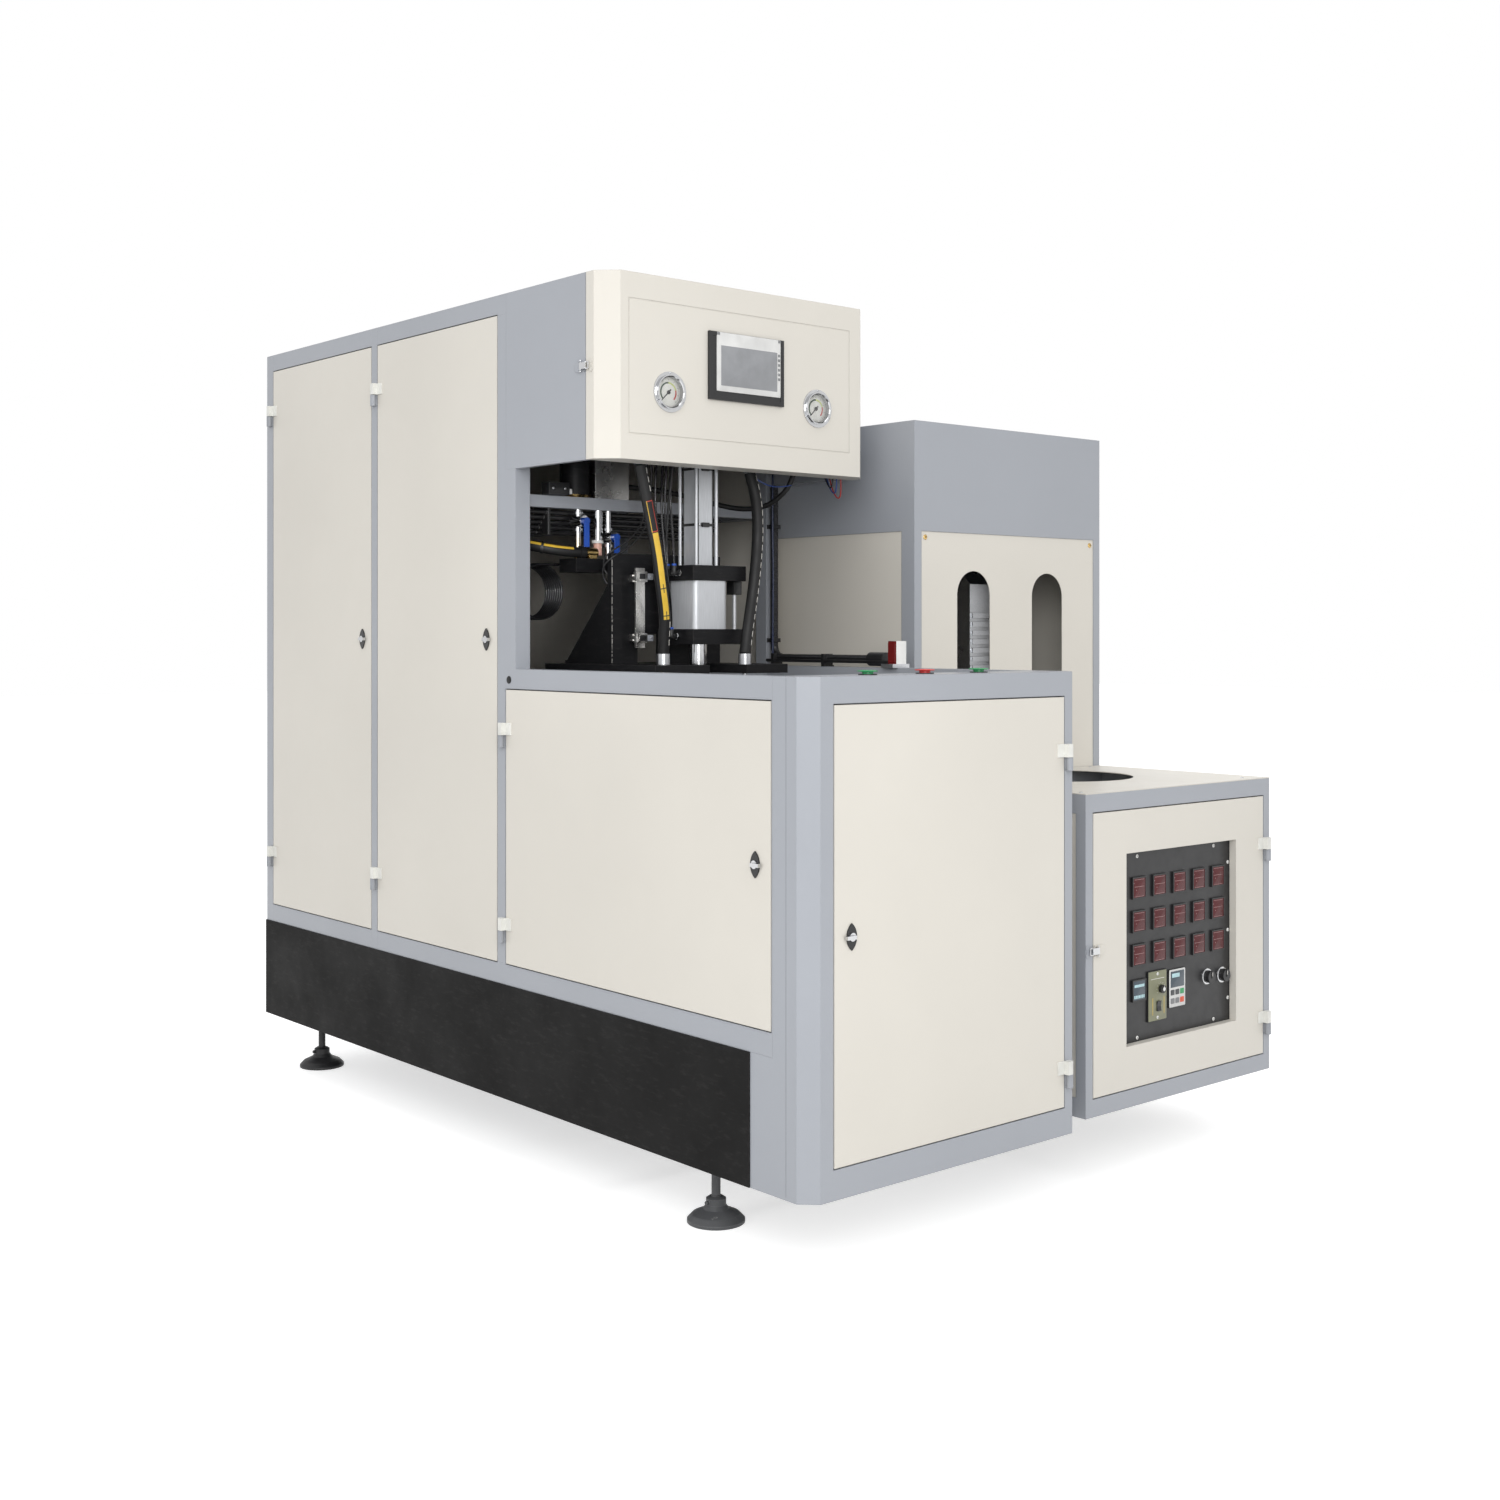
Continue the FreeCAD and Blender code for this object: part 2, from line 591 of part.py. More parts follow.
class Face:
    """An upright face with its own coordinates: u along it, w inwards from it, z up."""

    def __init__(self, origin, along, inward):
        self.origin = origin
        self.along = along
        self.inward = inward

    def point(self, u, w, z):
        x = self.origin[0] + u * self.along[0] + w * self.inward[0]
        y = self.origin[1] + u * self.along[1] + w * self.inward[1]
        return Vector(x, y, z)

    def box(self, u0, u1, w0, w1, z0, z1):
        p = self.point(u0, w0, z0)
        q = self.point(u1, w1, z1)
        return box(p.x, q.x, p.y, q.y, z0, z1)

    def up(self, radius, u, w, z, length):
        return Part.makeCylinder(radius, length, self.point(u, w, z), Vector(0, 0, 1))

    def inwards(self, radius, u, w, z, length):
        axis = Vector(self.inward[0], self.inward[1], 0)
        return Part.makeCylinder(radius, length, self.point(u, w, z), axis)

    def slab(self, edges, depth):
        """Plate that grows inwards from the outline's own plane."""
        face = Part.Face(Part.Wire(edges))
        return face.extrude(Vector(self.inward[0], self.inward[1], 0) * depth)


REAR_SIDE = Face((0.0, REAR_HINGE_Y), (0, -1), (1, 0))
TALL_SIDE = Face((0.0, FRONT_HINGE_Y), (0, -1), (1, 0))
LOW_SIDE = Face((0.0, LOW_DOOR_Y[1]), (0, -1), (1, 0))
FRONT = Face((FRONT_DOOR_X[1], 0.0), (-1, 0), (0, 1))
HEATER_FRONT = Face((HX + HEATER_W - H_POST, HEATER_Y), (-1, 0), (0, 1))
HOOD_SIDE = Face((MAIN_W, HEAD_Y + HOOD_D), (0, -1), (-1, 0))
HEAD_LATCH_FACE = Face((0.0, COVER_Y + LATCH_IN), (0, -1), (1, 0))
H_DOOR_W = HEATER_W - 2 * H_POST
HEATER_LATCH_FACE = Face((HX + H_POST + LATCH_IN, HEATER_Y), (-1, 0), (0, 1))

# name of door: face, width, height span, hinges, lock
door_plan = {
    "rear_side_door": (REAR_SIDE, TALL_DOOR_W, TALL_DOOR_Z, TALL_HINGES, TALL_LOCK),
    "tall_side_door": (TALL_SIDE, TALL_DOOR_W, TALL_DOOR_Z, TALL_HINGES, TALL_LOCK),
    "low_side_door": (LOW_SIDE, LOW_DOOR_Y[1] - LOW_DOOR_Y[0], LOW_DOOR_Z, LOW_HINGES, LOW_LOCK),
    "front_door": (FRONT, FRONT_DOOR_X[1] - FRONT_DOOR_X[0], FRONT_DOOR_Z, FRONT_HINGES,
                   FRONT_LOCK),
}


# ---------------------------------------------------------------- doors, hinges, locks, latches
def stop_bars(face, width, z0, z1, depth=0.0):
    """Four folded bars round a door opening, each a jamb with its stop lip, butted at the
    corners; depth leaves the face's own sheet free."""
    e = FRAME_EDGE
    g = DOOR_GAP
    lip = STOP_W - g
    spans = [(-e, lip, z0 - e, z1 + e), (width - lip, width + e, z0 - e, z1 + e),
             (lip, width - lip, z0 - e, z0 + lip), (lip, width - lip, z1 - lip, z1 + e)]
    hole = face.box(-g, width + g, -1, STOP_D, z0 - g, z1 + g)
    return [face.box(u0, u1, depth, STOP_D + STOP_T, low, high).cut(hole)
            for u0, u1, low, high in spans]


def door_hole(face, width, z0, z1, depth):
    """Cutter for a door's opening, wide enough for its gap."""
    g = DOOR_GAP
    return face.box(-g, width + g, -1, depth, z0 - g, z1 + g)


def pan(face, width, z0, z1):
    """Door folded from one sheet, open to the inside."""
    t = PANEL_T
    outer = face.box(0, width, 0, DOOR_D, z0, z1)
    return outer.cut(face.box(t, width - t, t, DOOR_D + 1, z0 + t, z1 - t))


def knuckle(face, z):
    """Upper half of a lift-off hinge: barrel, arm and leaf on the door."""
    top = KNUCKLE_L
    barrel = face.up(KNUCKLE_R, -HINGE_OFF, -HINGE_OUT, z, top)
    arm = face.box(-HINGE_OFF, LEAF_T, -HINGE_OUT - KNUCKLE_R, 0, z, z + top)
    arm = arm.cut(face.box(-HINGE_OFF - 1, -DOOR_GAP, KNUCKLE_R - HINGE_OUT, 1, z - 1, z + top + 1))
    leaf = face.box(0, LEAF_W, -LEAF_T, 0, z, z + top)
    bore = face.up(PIN_R + RUN, -HINGE_OFF, -HINGE_OUT, z - 1, top - 2)
    return join([barrel, arm, leaf]).cut(bore)


def hinge_pin(face, z, z_gap=FACE_GAP):
    """Lower half of a lift-off hinge with its pin, on the frame."""
    low = z - z_gap - KNUCKLE_L
    top = low + KNUCKLE_L
    barrel = face.up(KNUCKLE_R, -HINGE_OFF, -HINGE_OUT, low, KNUCKLE_L)
    neck = face.box(-HINGE_OFF - KNUCKLE_R, -HINGE_OFF + KNUCKLE_R / 2, -HINGE_OUT, 0, low, top)
    leaf = face.box(-FRAME_EDGE - LEAF_W + LEAF_T, -DOOR_GAP, -LEAF_T, 0, low, top)
    pin = face.up(PIN_R, -HINGE_OFF, -HINGE_OUT, low, 2 * KNUCKLE_L - 4)
    return join([barrel, neck, leaf, pin])


def lens_plate(face, u, z):
    """Pointed oval plate of a lock: two arcs."""
    w = -LENS_T
    top = face.point(u, w, z + LENS_H / 2)
    low = face.point(u, w, z - LENS_H / 2)
    near = face.point(u - LENS_W / 2, w, z)
    far = face.point(u + LENS_W / 2, w, z)
    return face.slab([Part.Arc(low, near, top).toShape(), Part.Arc(top, far, low).toShape()],
                     LENS_T)


def lock_turn(face, u, z):
    """Turning part of a lock: key grip, shaft and cam, which hangs down when unlocked."""
    grip = -LENS_T - FACE_GAP
    cam = STOP_D + STOP_T + FACE_GAP
    shaft = face.inwards(LOCK_R - RUN, u, grip - 2, z, cam - grip + 2)
    key = face.box(u - LOCK_R / 2, u + KEY_L, grip - KEY_OUT, grip, z - KEY_H / 2, z + KEY_H / 2)
    arm = face.box(u - CAM_W / 2, u + CAM_W / 2, cam, cam + CAM_T, z - CAM_L, z + CAM_W / 2)
    return join([shaft, key, arm])


def door(face, width, span, hinges, lock):
    """Folded door with its hinge halves, its lock's plate and the hole for the lock."""
    u = width - LOCK_IN
    shapes = [pan(face, width, span[0], span[1]), lens_plate(face, u, lock)]
    shapes += [knuckle(face, z) for z in hinges]
    return join(shapes).cut(face.inwards(LOCK_R, u, -LENS_T - 1, lock, DOOR_D))


def keeper(face, z):
    """Plate with two round lobes and the low hook that the loop of a latch lies over."""
    u = LATCH_REACH
    t = LATCH_T
    third = LATCH_W / 3
    lobes = [face.inwards(LOBE_R, u + LOBE_OFF, -t, z + s * third, t) for s in (-1, 1)]
    plate = face.box(u - KEEPER_X[0], u + KEEPER_X[1], -t, 0, z - third, z + third)
    hook = face.box(u - HOOK_X[0], u - HOOK_X[1], -HOOK_OUT, 0, z - LATCH_W / 4, z + LATCH_W / 4)
    return join([plate, hook] + lobes)


def latch_base(face, z):
    """Base plate of a draw latch with the two ears that hold its pin."""
    h = LATCH_W / 2
    plate = face.box(h - LATCH_BACK, LATCH_FRONT, -LATCH_T, 0, z - h, z + h)
    end = face.inwards(h, h - LATCH_BACK, -LATCH_T, z, LATCH_T)
    ear = h - LATCH_EAR_IN
    top = LATCH_PIN_OUT + LATCH_EAR - 1
    ears = [face.box(-LATCH_EAR, LATCH_EAR, -top, -LATCH_T / 2, z + s * ear - 1, z + s * ear + 1)
            for s in (-1, 1)]
    hole = face.up(LATCH_PIN_R + RUN, 0, -LATCH_PIN_OUT, z - LATCH_W, 2 * LATCH_W)
    return join([plate, end] + ears).cut(hole)


def latch_lever(face, z):
    """Lever with its pin and wire loop, all swinging about the pin."""
    half = LATCH_W / 2 - LEVER_IN
    out = LATCH_PIN_OUT
    w = LATCH_WIRE
    end = LATCH_REACH
    pin = face.up(LATCH_PIN_R, 0, -out, z - LATCH_W / 2, LATCH_W)
    plate = face.box(-w, end - LEVER_SHORT, -out - w, -out + w / 2, z - half, z + half)
    wires = [face.box(end - LEVER_SHORT - w, end, -out - w / 4, -out + 3 * w / 4,
                      z + s * half - w / 2, z + s * half + w / 2) for s in (-1, 1)]
    bar = face.box(end - w, end, -out - w / 4, -out + 3 * w / 4, z - half - w / 2, z + half + w / 2)
    return join([pin, plate, bar] + wires)


for name, (face, width, span, hinges, lock) in door_plan.items():
    parts[name] = door(face, width, span, hinges, lock)
    parts[name.replace("door", "lock")] = lock_turn(face, width - LOCK_IN, lock)

pin_places = [(face, z) for face, width, span, hinges, lock in door_plan.values() for z in hinges]
pin_places += [(HEATER_FRONT, z) for z in HEATER_HINGES]
pin_places += [(HOOD_SIDE, z) for z in HOOD_HINGES]


# ---------------------------------------------------------------- frame of the blow moulder
def coped(pieces):
    """Tubes of a weldment as separate solids: each is cut back where it meets those before it."""
    fitted = []
    for piece in pieces:
        for other in fitted:
            if piece.BoundBox.intersect(other.BoundBox):
                piece = piece.cut(other)
        fitted += piece.Solids
    return [solid.removeSplitter() for solid in fitted]


def side_tubes(side):
    """Posts and rails in one side plane; side is 0 for the left, 1 for the right."""
    x0 = side * (MAIN_W - TUBE)
    x1 = x0 + TUBE
    inner = (max(x0, SHEET), min(x1, MAIN_W - SHEET))
    front = STRIP_END
    corner = front - TUBE + SHEET
    post_low = TABLE_Z if side == 0 else SKIRT_TOP
    tubes = [
        box(x0, x1, MAIN_L - TUBE, MAIN_L, BASE_Z, MAIN_H - SHEET),
        box(x0, x1, FRONT_HINGE_Y, FRONT_HINGE_Y + DIVIDER, SKIRT_TOP, MAIN_H - SHEET),
        box(x0, x1, TALL_Y, TALL_Y + TUBE, post_low, HEAD_Z),
        box(inner[0], inner[1], TALL_Y, TALL_Y + TUBE, HEAD_Z, MAIN_H - SHEET),
        box(x0, x1, SKIRT_START, MAIN_L, BASE_Z, BASE_Z + TUBE),
        box(x0, x1, front, MAIN_L, SKIRT_TOP, LOW_TOP),
        box(x0, x1, front, TALL_Y + TUBE, TABLE_Z - TABLE_RAIL, TABLE_Z),
        box(x0, x1, TALL_Y + TUBE, MAIN_L, MAIN_H - TOP_RAIL, MAIN_H - SHEET),
        box(inner[0], inner[1], corner, front, BASE_Z, TABLE_Z - SHEET),
        box(inner[0], inner[1], CHAMFER + SHEET, SKIRT_START, BASE_Z, BASE_Z + TUBE),
        box(inner[0], inner[1], CHAMFER + SHEET, front, TABLE_Z - SHEET - TUBE, TABLE_Z - SHEET),
    ]
    if side == 0:
        tubes.append(box(x0, x1, TALL_Y + TUBE, TALL_Y + 2 * TUBE, SKIRT_TOP, MAIN_H - SHEET))
    else:
        tubes.append(box(x0, x1, TALL_Y, MAIN_L, BEAM_Z, BEAM_Z + BEAM))
    return tubes


def cross_tubes():
    """Tubes that run from side to side, each by its front edge and underside."""
    rows = [
        (FOOT_FRONT - TUBE / 2, BASE_Z),
        (MAIN_L - FOOT_REAR - TUBE / 2, BASE_Z),
        (MAIN_L - TUBE, BASE_Z),
        (MAIN_L - TUBE, LOW_TOP - TUBE),
        (MAIN_L - TUBE, TABLE_Z - TUBE),
        (MAIN_L - TUBE, MAIN_H - SHEET - TUBE),
        (TALL_Y, MAIN_H - SHEET - TUBE),
        (TALL_Y, FOOT_PLATE_Z - TUBE),
        (AXIS_Y - PLATEN_HALF_W, BASE_Z),
        (AXIS_Y + PLATEN_HALF_W - TUBE, BASE_Z),
        (AXIS_Y - PLATEN_HALF_W, MOULD_BEAM_Z),
        (AXIS_Y + PLATEN_HALF_W - TUBE, MOULD_BEAM_Z),
    ]
    tubes = [box(TUBE, MAIN_W - TUBE, y, y + TUBE, z, z + TUBE) for y, z in rows]
    for z in (BASE_Z, TABLE_Z - SHEET - TUBE):
        x = CHAMFER + SHEET
        tubes.append(box(x, MAIN_W - x, SHEET, SHEET + TUBE, z, z + TUBE))
    for x in (TUBE, MAIN_W - 2 * TUBE):
        for y in (AXIS_Y - PLATEN_HALF_W, AXIS_Y + PLATEN_HALF_W - TUBE):
            tubes.append(box(x, x + TUBE, y, y + TUBE, BASE_Z, MOULD_BEAM_Z + TUBE))
    tubes.append(box(TUBE, MAIN_W - TUBE, BEAM_Y, BEAM_Y + BEAM, BEAM_Z, BEAM_Z + BEAM))
    y1 = FOOT_PLATE_Y[1]
    z = FOOT_PLATE_Z
    tubes.append(box(TUBE, MAIN_W - TUBE, y1 - TUBE, y1, z - TUBE, z))
    for x in (TUBE, MAIN_W - 2 * TUBE):
        tubes.append(box(x, x + TUBE, TALL_Y + TUBE, y1, z - TUBE, z))
    return tubes


def head_arms():
    """Light frame inside the head, with the flat bar that the air hoses hang from."""
    top = MAIN_H - SHEET
    pieces = []
    for x in ARM_X:
        pieces.append(box(x, x + ARM, ARM_Y, ARM_Y + ARM, ARM_LOW, top))
        for z in (ARM_LOW, top - ARM):
            pieces.append(box(x, x + ARM, ARM_Y, TALL_Y, z, z + ARM))
    bar = box(ARM_X[0], ARM_X[1] + ARM, HOSE_BAR_Y[0], HOSE_BAR_Y[1], HOSE_BAR_Z,
              HOSE_BAR_Z + HOSE_BAR_T)
    half = STRETCH_SQ / 2 + CYLINDER_ROOM
    room = box(AXIS_X - half, AXIS_X + half, AXIS_Y - half, HOSE_BAR_Y[1] + 1, HOSE_BAR_Z - 1,
               HOSE_BAR_Z + HOSE_BAR_T + 1)
    return pieces + [bar.cut(room)]


def main_frame():
    """Welded tubes, roof and cabinet floor, and the stop bars round each side door."""
    side_doors = [plan[:3] for plan in door_plan.values() if plan[0] is not FRONT]
    holes = [face.box(-FRAME_EDGE, width + FRAME_EDGE, -1, TUBE + 1, span[0] - FRAME_EDGE,
                      span[1] + FRAME_EDGE) for face, width, span in side_doors]
    tubes = []
    for tube in side_tubes(0) + side_tubes(1) + cross_tubes() + head_arms():
        for hole in holes:
            if tube.BoundBox.intersect(hole.BoundBox):
                tube = tube.cut(hole)
        tubes += tube.Solids
    roof = box(0, MAIN_W, HEAD_END, MAIN_L, MAIN_H - SHEET, MAIN_H)
    floor = box(TUBE, MAIN_W - TUBE, TALL_Y + TUBE, MAIN_L - TUBE, SKIRT_TOP, SKIRT_TOP + SHEET)
    stops = [bar for face, width, span in side_doors
             for bar in stop_bars(face, width, span[0], span[1])]
    return group(coped(stops + tubes + [roof, floor]))


parts["main_frame"] = main_frame()


def apron_outline(t, end):
    """Outline of the front cover in x and y, set in by its own sheet."""
    c = CHAMFER + t * (math.sqrt(2) - 1)
    return [(t, end), (t, c), (c, t), (MAIN_W - c, t), (MAIN_W - t, c), (MAIN_W - t, end)]


def front_apron():
    """Front cover folded round both slanted corners, with the button ledge as its top fold."""
    low = prism(apron_outline(0, SKIRT_START), BASE_Z, SKIRT_TOP)
    low = low.cut(prism(apron_outline(SHEET, SKIRT_START + 1), BASE_Z - 1, SKIRT_TOP + 1))
    high = prism(apron_outline(0, STRIP_END), SKIRT_TOP, TABLE_Z)
    high = high.cut(prism(apron_outline(SHEET, STRIP_END + 1), SKIRT_TOP - 1, TABLE_Z - SHEET))
    ledge = box(TUBE, MAIN_W - TUBE, STRIP_END - 1, LEDGE_D, TABLE_Z - SHEET, TABLE_Z)
    lip = box(TUBE, MAIN_W - TUBE, LEDGE_D - SHEET, LEDGE_D, TABLE_Z - HOOD_LIP, TABLE_Z)
    face, width, span = door_plan["front_door"][:3]
    shell = join([low, high, ledge, lip])
    shell = shell.cut(door_hole(face, width, span[0], span[1], SHEET + 1))
    for x in BUTTON_X:
        hole = rod(BUTTON_STEM + BUTTON_WALL, (x, BUTTON_Y, TABLE_Z - SHEET - 1), (0, 0, 1),
                   SHEET + 2)
        shell = shell.cut(hole)
    return group([shell] + stop_bars(face, width, span[0], span[1], SHEET))


parts["front_apron"] = front_apron()


def base_skirt():
    """Black skirt, one sheet folded round both sides and the back."""
    t = SKIRT_T
    outer = box(-t, MAIN_W + t, SKIRT_START, MAIN_L + t, BASE_Z, SKIRT_TOP)
    return outer.cut(box(0, MAIN_W, SKIRT_START - 1, MAIN_L, BASE_Z - 1, SKIRT_TOP + 1))


parts["base_skirt"] = base_skirt()


def cover_panels():
    """Panels that close the right side and the back, set in between the tubes."""
    x1 = MAIN_W - PANEL_IN
    y1 = MAIN_L - PANEL_IN
    panels = []
    for y0, y_end in ((TALL_Y + TUBE, FRONT_HINGE_Y), (FRONT_HINGE_Y + DIVIDER, REAR_HINGE_Y)):
        for z0, z1 in ((LOW_TOP, BEAM_Z), (BEAM_Z + BEAM, MAIN_H - TOP_RAIL)):
            panels.append(box(x1 - PANEL_T, x1, y0, y_end, z0, z1))
    panels.append(box(x1 - PANEL_T, x1, STRIP_END, TALL_Y, LOW_TOP, TABLE_Z - TABLE_RAIL))
    for z0, z1 in ((LOW_TOP, TABLE_Z - TUBE), (TABLE_Z, MAIN_H - SHEET - TUBE)):
        panels.append(box(TUBE, MAIN_W - TUBE, y1 - PANEL_T, y1, z0, z1))
    return group(panels)


parts["cover_panels"] = cover_panels()


def head_cover():
    """Gray cover of the head: both sides and the roof in one sheet, with the latch's base."""
    outer = box(0, MAIN_W, COVER_Y, HEAD_END, HEAD_Z, MAIN_H)
    inner = box(SHEET, MAIN_W - SHEET, COVER_Y - 1, HEAD_END + 1, HEAD_Z - 1, MAIN_H - SHEET)
    lips = [box(x, x + HOOD_LIP, COVER_Y, TALL_Y, HEAD_Z, HEAD_Z + SHEET)
            for x in (0.0, MAIN_W - HOOD_LIP)]
    return join([outer.cut(inner), latch_base(HEAD_LATCH_FACE, HEAD_LATCH)] + lips)


parts["head_cover"] = head_cover()
parts["head_latch_lever"] = latch_lever(HEAD_LATCH_FACE, HEAD_LATCH)


# ---------------------------------------------------------------- hood with panel and gauges
def hood_outline(t, end):
    c = HOOD_CHAMFER + t * (math.sqrt(2) - 1)
    y0 = HEAD_Y
    return [(t, end), (t, y0 + c), (c, y0 + t), (MAIN_W - c, y0 + t), (MAIN_W - t, y0 + c),
            (MAIN_W - t, end)]


def head_hood():
    """Cream hood, open to the rear, with a pressed groove and cut-outs for its instruments."""
    end = HEAD_Y + HOOD_D
    t = HOOD_T
    shell = prism(hood_outline(0, end), HEAD_Z, MAIN_H)
    shell = shell.cut(prism(hood_outline(t, end + 1), HEAD_Z + t, MAIN_H - t))
    g = GROOVE_W
    x0, x1 = FIELD_X
    z0, z1 = FIELD_Z
    ring = box(x0, x1, HEAD_Y - 1, HEAD_Y + GROOVE_D, z0, z1)
    ring = ring.cut(box(x0 + g, x1 - g, HEAD_Y - 2, HEAD_Y + 2, z0 + g, z1 - g))
    shell = shell.cut(ring)
    b = BEZEL_W
    shell = shell.cut(box(SCREEN_X[0] + b, SCREEN_X[1] - b, HEAD_Y - 1, HEAD_Y + t + 1,
                          SCREEN_Z[0] + b, SCREEN_Z[1] - b))
    for x in GAUGE_X:
        shell = shell.cut(rod(GAUGE_R - BEZEL_W, (x, HEAD_Y - 1, GAUGE_Z), (0, 1, 0), t + 2))
    lips = [box(t, MAIN_W - t, end - t, end, z, z + HOOD_LIP)
            for z in (HEAD_Z, MAIN_H - HOOD_LIP)]
    knuckles = [knuckle(HOOD_SIDE, z) for z in HOOD_HINGES]
    return join([shell, keeper(HEAD_LATCH_FACE, HEAD_LATCH)] + lips + knuckles)


parts["head_hood"] = head_hood()


def touch_panel():
    """Bezel with a sunk screen and the case behind the sheet."""
    x0, x1 = SCREEN_X
    z0, z1 = SCREEN_Z
    b = BEZEL_W
    y = HEAD_Y
    bezel = box(x0, x1, y - BEZEL_T, y, z0, z1)
    bezel = bezel.cut(box(x0 + b, x1 - b, y - BEZEL_T - 1, y - BEZEL_T + 1.5, z0 + b, z1 - b))
    case = box(x0 + b, x1 - b, y - 1, y + SCREEN_BODY, z0 + b, z1 - b)
    return join([bezel, case])


parts["touch_panel"] = touch_panel()


def gauge_case(x):
    """Panel gauge: flange, raised rim round a sunk dial, and the case behind the sheet."""
    r = GAUGE_R
    back = r - BEZEL_W
    rim = r - GAUGE_RIM_IN
    sight = rim - GAUGE_RIM_W
    out = GAUGE_RIM_OUT
    edge = GAUGE_RIM_EDGE
    flange = GAUGE_FLANGE_T
    profile = [(0, DIAL_SINK), (sight, DIAL_SINK), (sight, edge - out), (rim - edge, -out),
               (rim - 0.5, -out), (rim, -flange), (r, -flange), (r, 0), (back, 0),
               (back, GAUGE_BODY), (0, GAUGE_BODY)]
    case = turned(profile, (x, HEAD_Y, GAUGE_Z), (0, 1, 0))
    hole = rod(NEEDLE_PIN_R + RUN, (x, HEAD_Y - 1, GAUGE_Z), (0, 1, 0), NEEDLE_PIN_L + DIAL_SINK - 0.5)
    return case.cut(hole)


def gauge_needle(x):
    """Needle on its spindle; its tip points to the low end of the scale."""
    tip = GAUGE_R - NEEDLE_IN
    y = HEAD_Y + NEEDLE_SINK
    wide, thin = NEEDLE_HALF_W
    corners = [Vector(-wide, 0, -NEEDLE_TAIL), Vector(wide, 0, -NEEDLE_TAIL), Vector(thin, 0, tip),
               Vector(-thin, 0, tip)]
    blade = Part.Face(Part.makePolygon(corners + corners[:1])).extrude(Vector(0, NEEDLE_T, 0))
    blade.rotate(Vector(0, 0, 0), Vector(0, 1, 0), NEEDLE_TILT)
    blade.translate(Vector(x, y, GAUGE_Z))
    front = (x, y - NEEDLE_HUB_T + 1, GAUGE_Z)
    hub = rod(NEEDLE_HUB_R, front, (0, 1, 0), NEEDLE_HUB_T)
    spindle = rod(NEEDLE_PIN_R, front, (0, 1, 0), NEEDLE_PIN_L)
    return join([blade, hub, spindle])


parts["pressure_gauges"] = group([gauge_case(x) for x in GAUGE_X])
parts["gauge_needle_left"] = gauge_needle(GAUGE_X[0])
parts["gauge_needle_right"] = gauge_needle(GAUGE_X[1])


# ---------------------------------------------------------------- push buttons
def button_collar(x):
    """Collar on the ledge and the switch body under it, bored for the button's stem."""
    s = BUTTON_STEM
    bore = s + RUN
    deep = -BUTTON_BORE
    body = s + BUTTON_WALL
    profile = [(bore, COLLAR_H), (bore, deep), (0, deep), (0, -BUTTON_DEEP), (body, -BUTTON_DEEP),
               (body, 0), (s + COLLAR_W, 0), (s + COLLAR_W, COLLAR_H)]
    return turned(profile, (x, BUTTON_Y, TABLE_Z))


def button_head(x):
    s = BUTTON_STEM
    r = BUTTON_R
    low = COLLAR_H + BUTTON_TRAVEL + BUTTON_GAP
    e = BUTTON_EDGE
    profile = [(0, -BUTTON_STEM_L), (s, -BUTTON_STEM_L), (s, low), (r - e, low), (r, low + e),
               (r - e, low + 1.8 * e), (r - BUTTON_CROWN, low + 2.6 * e), (0, low + 3 * e)]
    return turned(profile, (x, BUTTON_Y, TABLE_Z))


parts["button_collars"] = group([button_collar(x) for x in BUTTON_X])
for side, x in zip(("left", "middle", "right"), BUTTON_X):
    parts["button_" + side] = button_head(x)


# ---------------------------------------------------------------- blow unit
hose_ends = ((283.0, 786.0), (449.0, 700.0))      # hoses' lower ends on the foot plate


